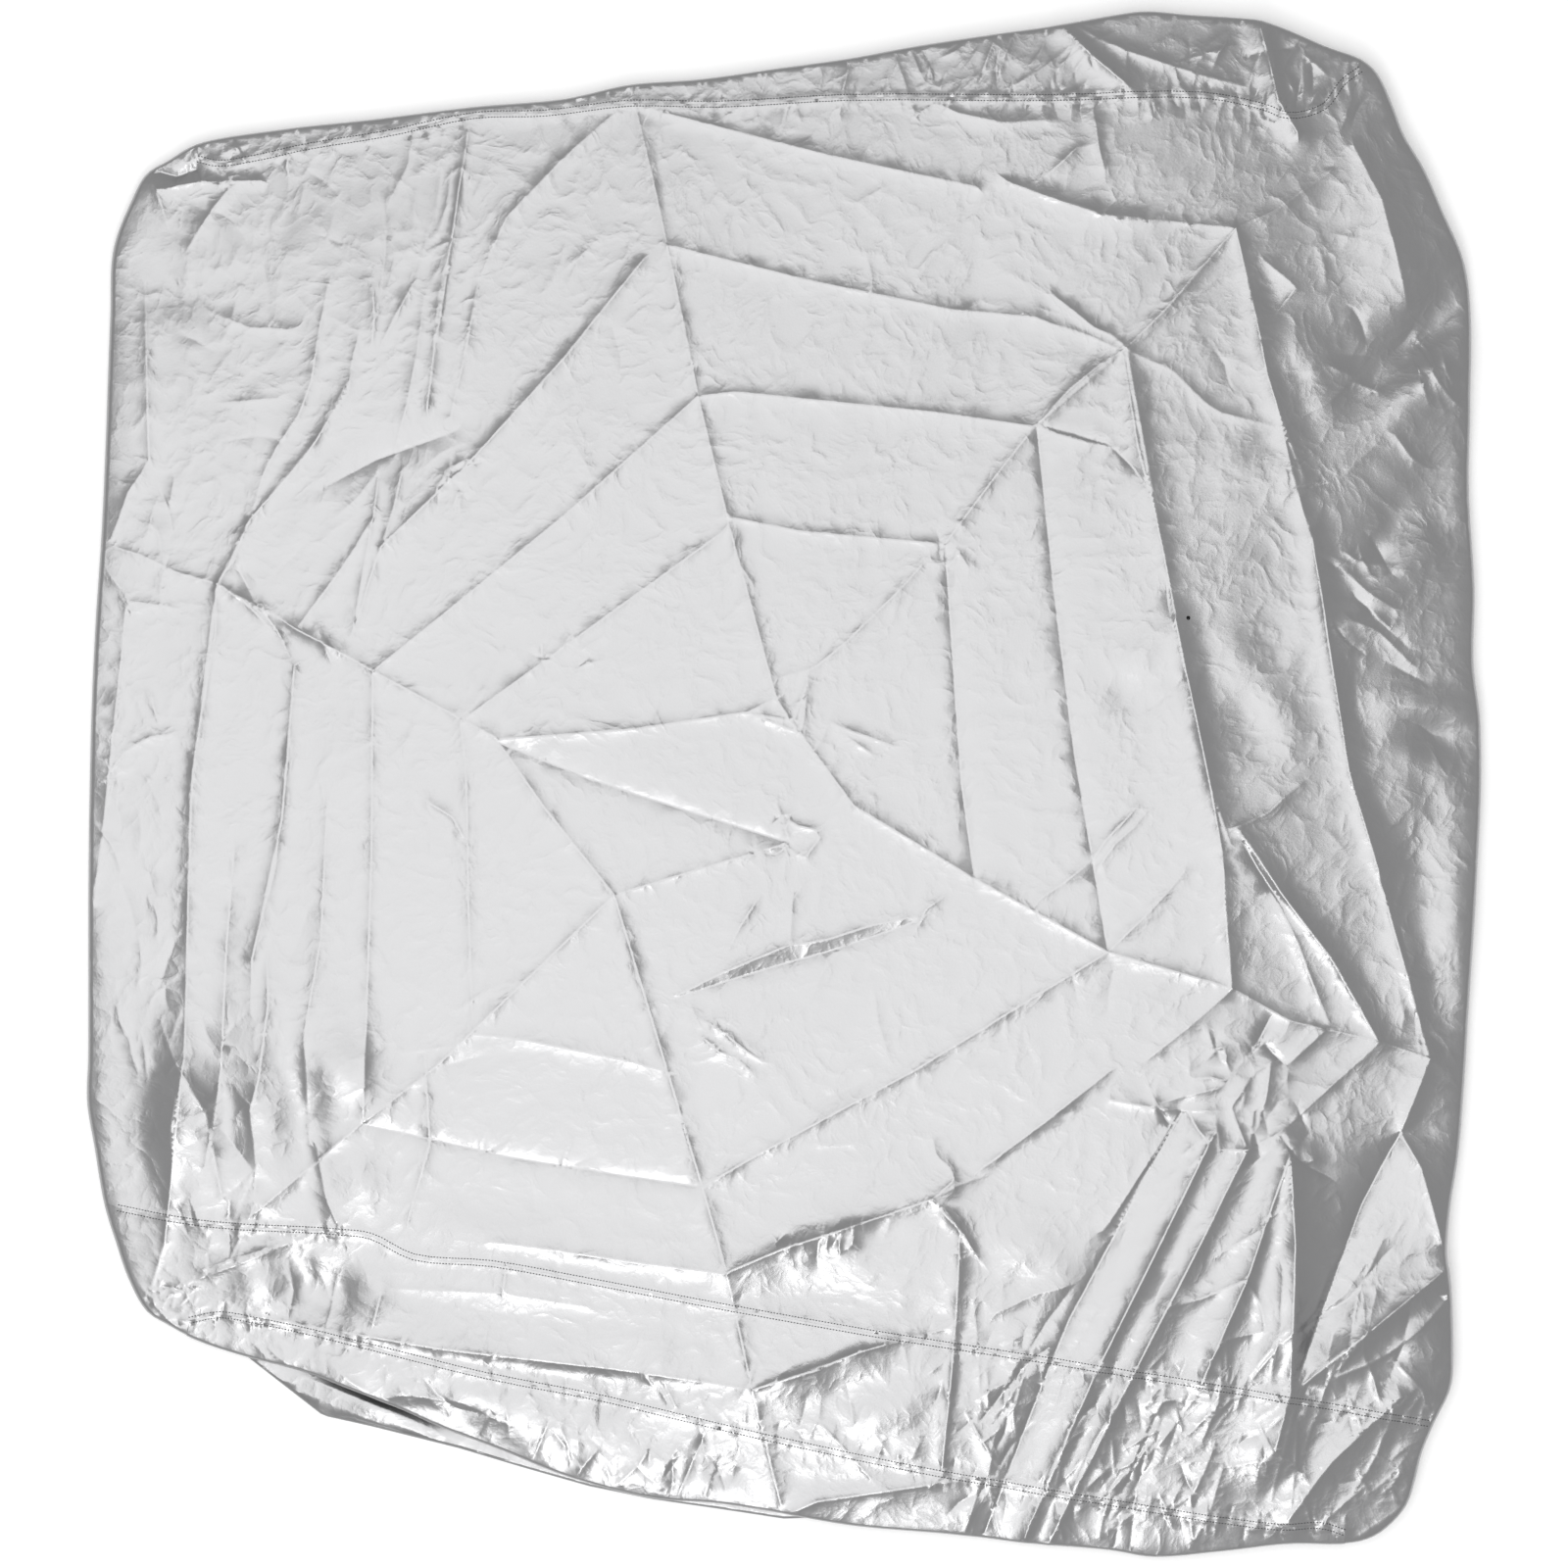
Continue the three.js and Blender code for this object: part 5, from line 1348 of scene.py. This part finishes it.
def ridged(tree, place, scale, detail):
    """Sharp branching ridges, like crumples."""
    node = noise(tree, place, scale, detail, "RIDGED_MULTIFRACTAL")
    node.inputs["Offset"].default_value = RIDGE_OFFSET
    node.inputs["Gain"].default_value = RIDGE_GAIN
    return node.outputs["Fac"]


def bent(tree, place):
    """Places pushed about by a broad noise, so that the ridges over them don't run straight."""
    shifted = tree.nodes.new("ShaderNodeVectorMath")
    shifted.operation = "MULTIPLY_ADD"
    shifted.inputs[1].default_value = (BEND_REACH, BEND_REACH, BEND_REACH)
    tree.links.new(noise(tree, place, BEND_SCALE, 3).outputs["Color"], shifted.inputs[0])
    tree.links.new(place, shifted.inputs[2])
    return shifted.outputs["Vector"]


def towards(tree, parts, axis, start, end, most):
    """Grows from the least to the most between two places along an axis."""
    node = tree.nodes.new("ShaderNodeMapRange")
    values = {"From Min": start, "From Max": end, "To Min": CRUMPLE_LEAST, "To Max": most}
    for socket, value in values.items():
        node.inputs[socket].default_value = value
    tree.links.new(parts.outputs[axis], node.inputs["Value"])
    return node.outputs["Result"]


def combined(tree, operation, first, second):
    node = tree.nodes.new("ShaderNodeMath")
    node.operation = operation
    tree.links.new(first, node.inputs[0])
    tree.links.new(second, node.inputs[1])
    return node.outputs["Value"]


def silver_cloth(name):
    """Silver-coated woven cloth: a soft sheen, crumples towards the edges, and a fine grain."""
    material, tree, shader = new_material(name)
    shader.inputs["Base Color"].default_value = (SILVER_TINT, SILVER_TINT, SILVER_TINT * SILVER_BLUE, 1)
    shader.inputs["Metallic"].default_value = METALLIC
    shader.inputs["Roughness"].default_value = ROUGHNESS
    place = tree.nodes.new("ShaderNodeTexCoord").outputs["Object"]
    parts = tree.nodes.new("ShaderNodeSeparateXYZ")
    tree.links.new(place, parts.inputs["Vector"])
    areas = [towards(tree, parts, *area) for area in (FRONT_CRUMPLES, RIGHT_CRUMPLES, LEFT_CRUMPLES)]
    sides = combined(tree, "MAXIMUM", areas[1], areas[2])
    amount = combined(tree, "MAXIMUM", areas[0], sides)
    wandering = bent(tree, place)
    crumples = combined(tree, "MULTIPLY", ridged(tree, wandering, CRUMPLE_SCALE, 4), amount)
    normal = bumped(tree, crumples, CRUMPLE_BUMP, CRUMPLE_DEPTH)
    normal = bumped(tree, ridged(tree, wandering, WRINKLE_SCALE, 3), WRINKLE_BUMP, WRINKLE_DEPTH, normal)
    grain = noise(tree, place, GRAIN_SCALE, 2)
    normal = bumped(tree, grain.outputs["Fac"], GRAIN_BUMP, GRAIN_DEPTH, normal)
    tree.links.new(normal, shader.inputs["Normal"])
    return material


def plain(name, colour, roughness, glow=0.0):
    """A plain colour, which may glow a little."""
    material, _, shader = new_material(name)
    shader.inputs["Base Color"].default_value = (*colour, 1)
    shader.inputs["Roughness"].default_value = roughness
    shader.inputs["Emission Color"].default_value = (1, 1, 1, 1)
    shader.inputs["Emission Strength"].default_value = glow
    return material


def build_cover():
    """The four pieces of cloth and the stitching of the three seams."""
    pieces = (
        (main_panel(), "main_panel", "panel_cloth", (2.58, 1.10)),
        (join_strip(), "join_strip", "strip_cloth", (2.42, 0.11)),
        (front_wall(), "front_wall", "front_cloth", (1.08, 0.76)),
        (back_wall(), "back_wall", "back_cloth", (1.08, 0.62)),
    )
    made = {}
    for piece, node, slot, flat in pieces:
        piece.data.materials.append(silver_cloth(slot.replace("_", " ")))
        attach(piece, "root")
        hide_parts(node)
        made[node] = (piece, flat)
    thread = plain("dark thread", THREAD_COLOUR, THREAD_ROUGHNESS)
    rows = (
        ("join_seam_stitches", JOIN_SEAM, ("main_panel", "join_strip"), "panel_cloth"),
        ("front_seam_stitches", FRONT_SEAM, ("join_strip", "front_wall"), "strip_cloth"),
        ("back_seam_stitches", BACK_SEAM, ("main_panel", "back_wall"), "panel_cloth"),
    )
    sewn = {node: [] for node in made}
    for name, seam, nodes, slot in rows:
        piece = stitches(name, seam, [made[node][0] for node in nodes])
        piece.data.materials.append(thread)
        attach(piece, "root")
        sewn[nodes[0]].append(piece)


def build_floor():
    """A pale floor a little under the cover."""
    bpy.ops.mesh.primitive_plane_add(size=FLOOR_SIZE, location=(0, 0, -FLOOR_DROP))
    floor = bpy.context.object
    floor.name = "floor"
    floor.data.materials.append(plain("pale floor", FLOOR_COLOUR, FLOOR_ROUGHNESS, FLOOR_GLOW))


def build_light():
    """Two soft lights that face the cover, and a white room."""
    for light in LIGHTS:
        data = bpy.data.lights.new(light.name, "AREA")
        data.energy = light.power
        data.size = light.size
        lamp = bpy.data.objects.new(light.name, data)
        lamp.location = light.place
        lamp.rotation_euler = (-Vector(light.place)).to_track_quat("-Z", "Y").to_euler()
        bpy.context.scene.collection.objects.link(lamp)
    world = bpy.data.worlds.new("studio")
    world.use_nodes = True
    background = world.node_tree.nodes["Background"]
    background.inputs["Color"].default_value = (1, 1, 1, 1)
    background.inputs["Strength"].default_value = WORLD_STRENGTH
    bpy.context.scene.world = world
    bpy.context.scene.view_settings.view_transform = "Standard"


def build_camera():
    """A camera straight above the cover, which frames the width at the height of its cloth."""
    data = bpy.data.cameras.new("camera")
    data.sensor_width = SENSOR_WIDTH
    data.lens = SENSOR_WIDTH * (CAMERA_HEIGHT - RESTING_LIFT * METRES) / FRAME_WIDTH
    camera = bpy.data.objects.new("camera", data)
    camera.location = (0, 0, CAMERA_HEIGHT)
    bpy.context.scene.collection.objects.link(camera)
    bpy.context.scene.camera = camera


build_cover()
build_floor()
build_light()
build_camera()
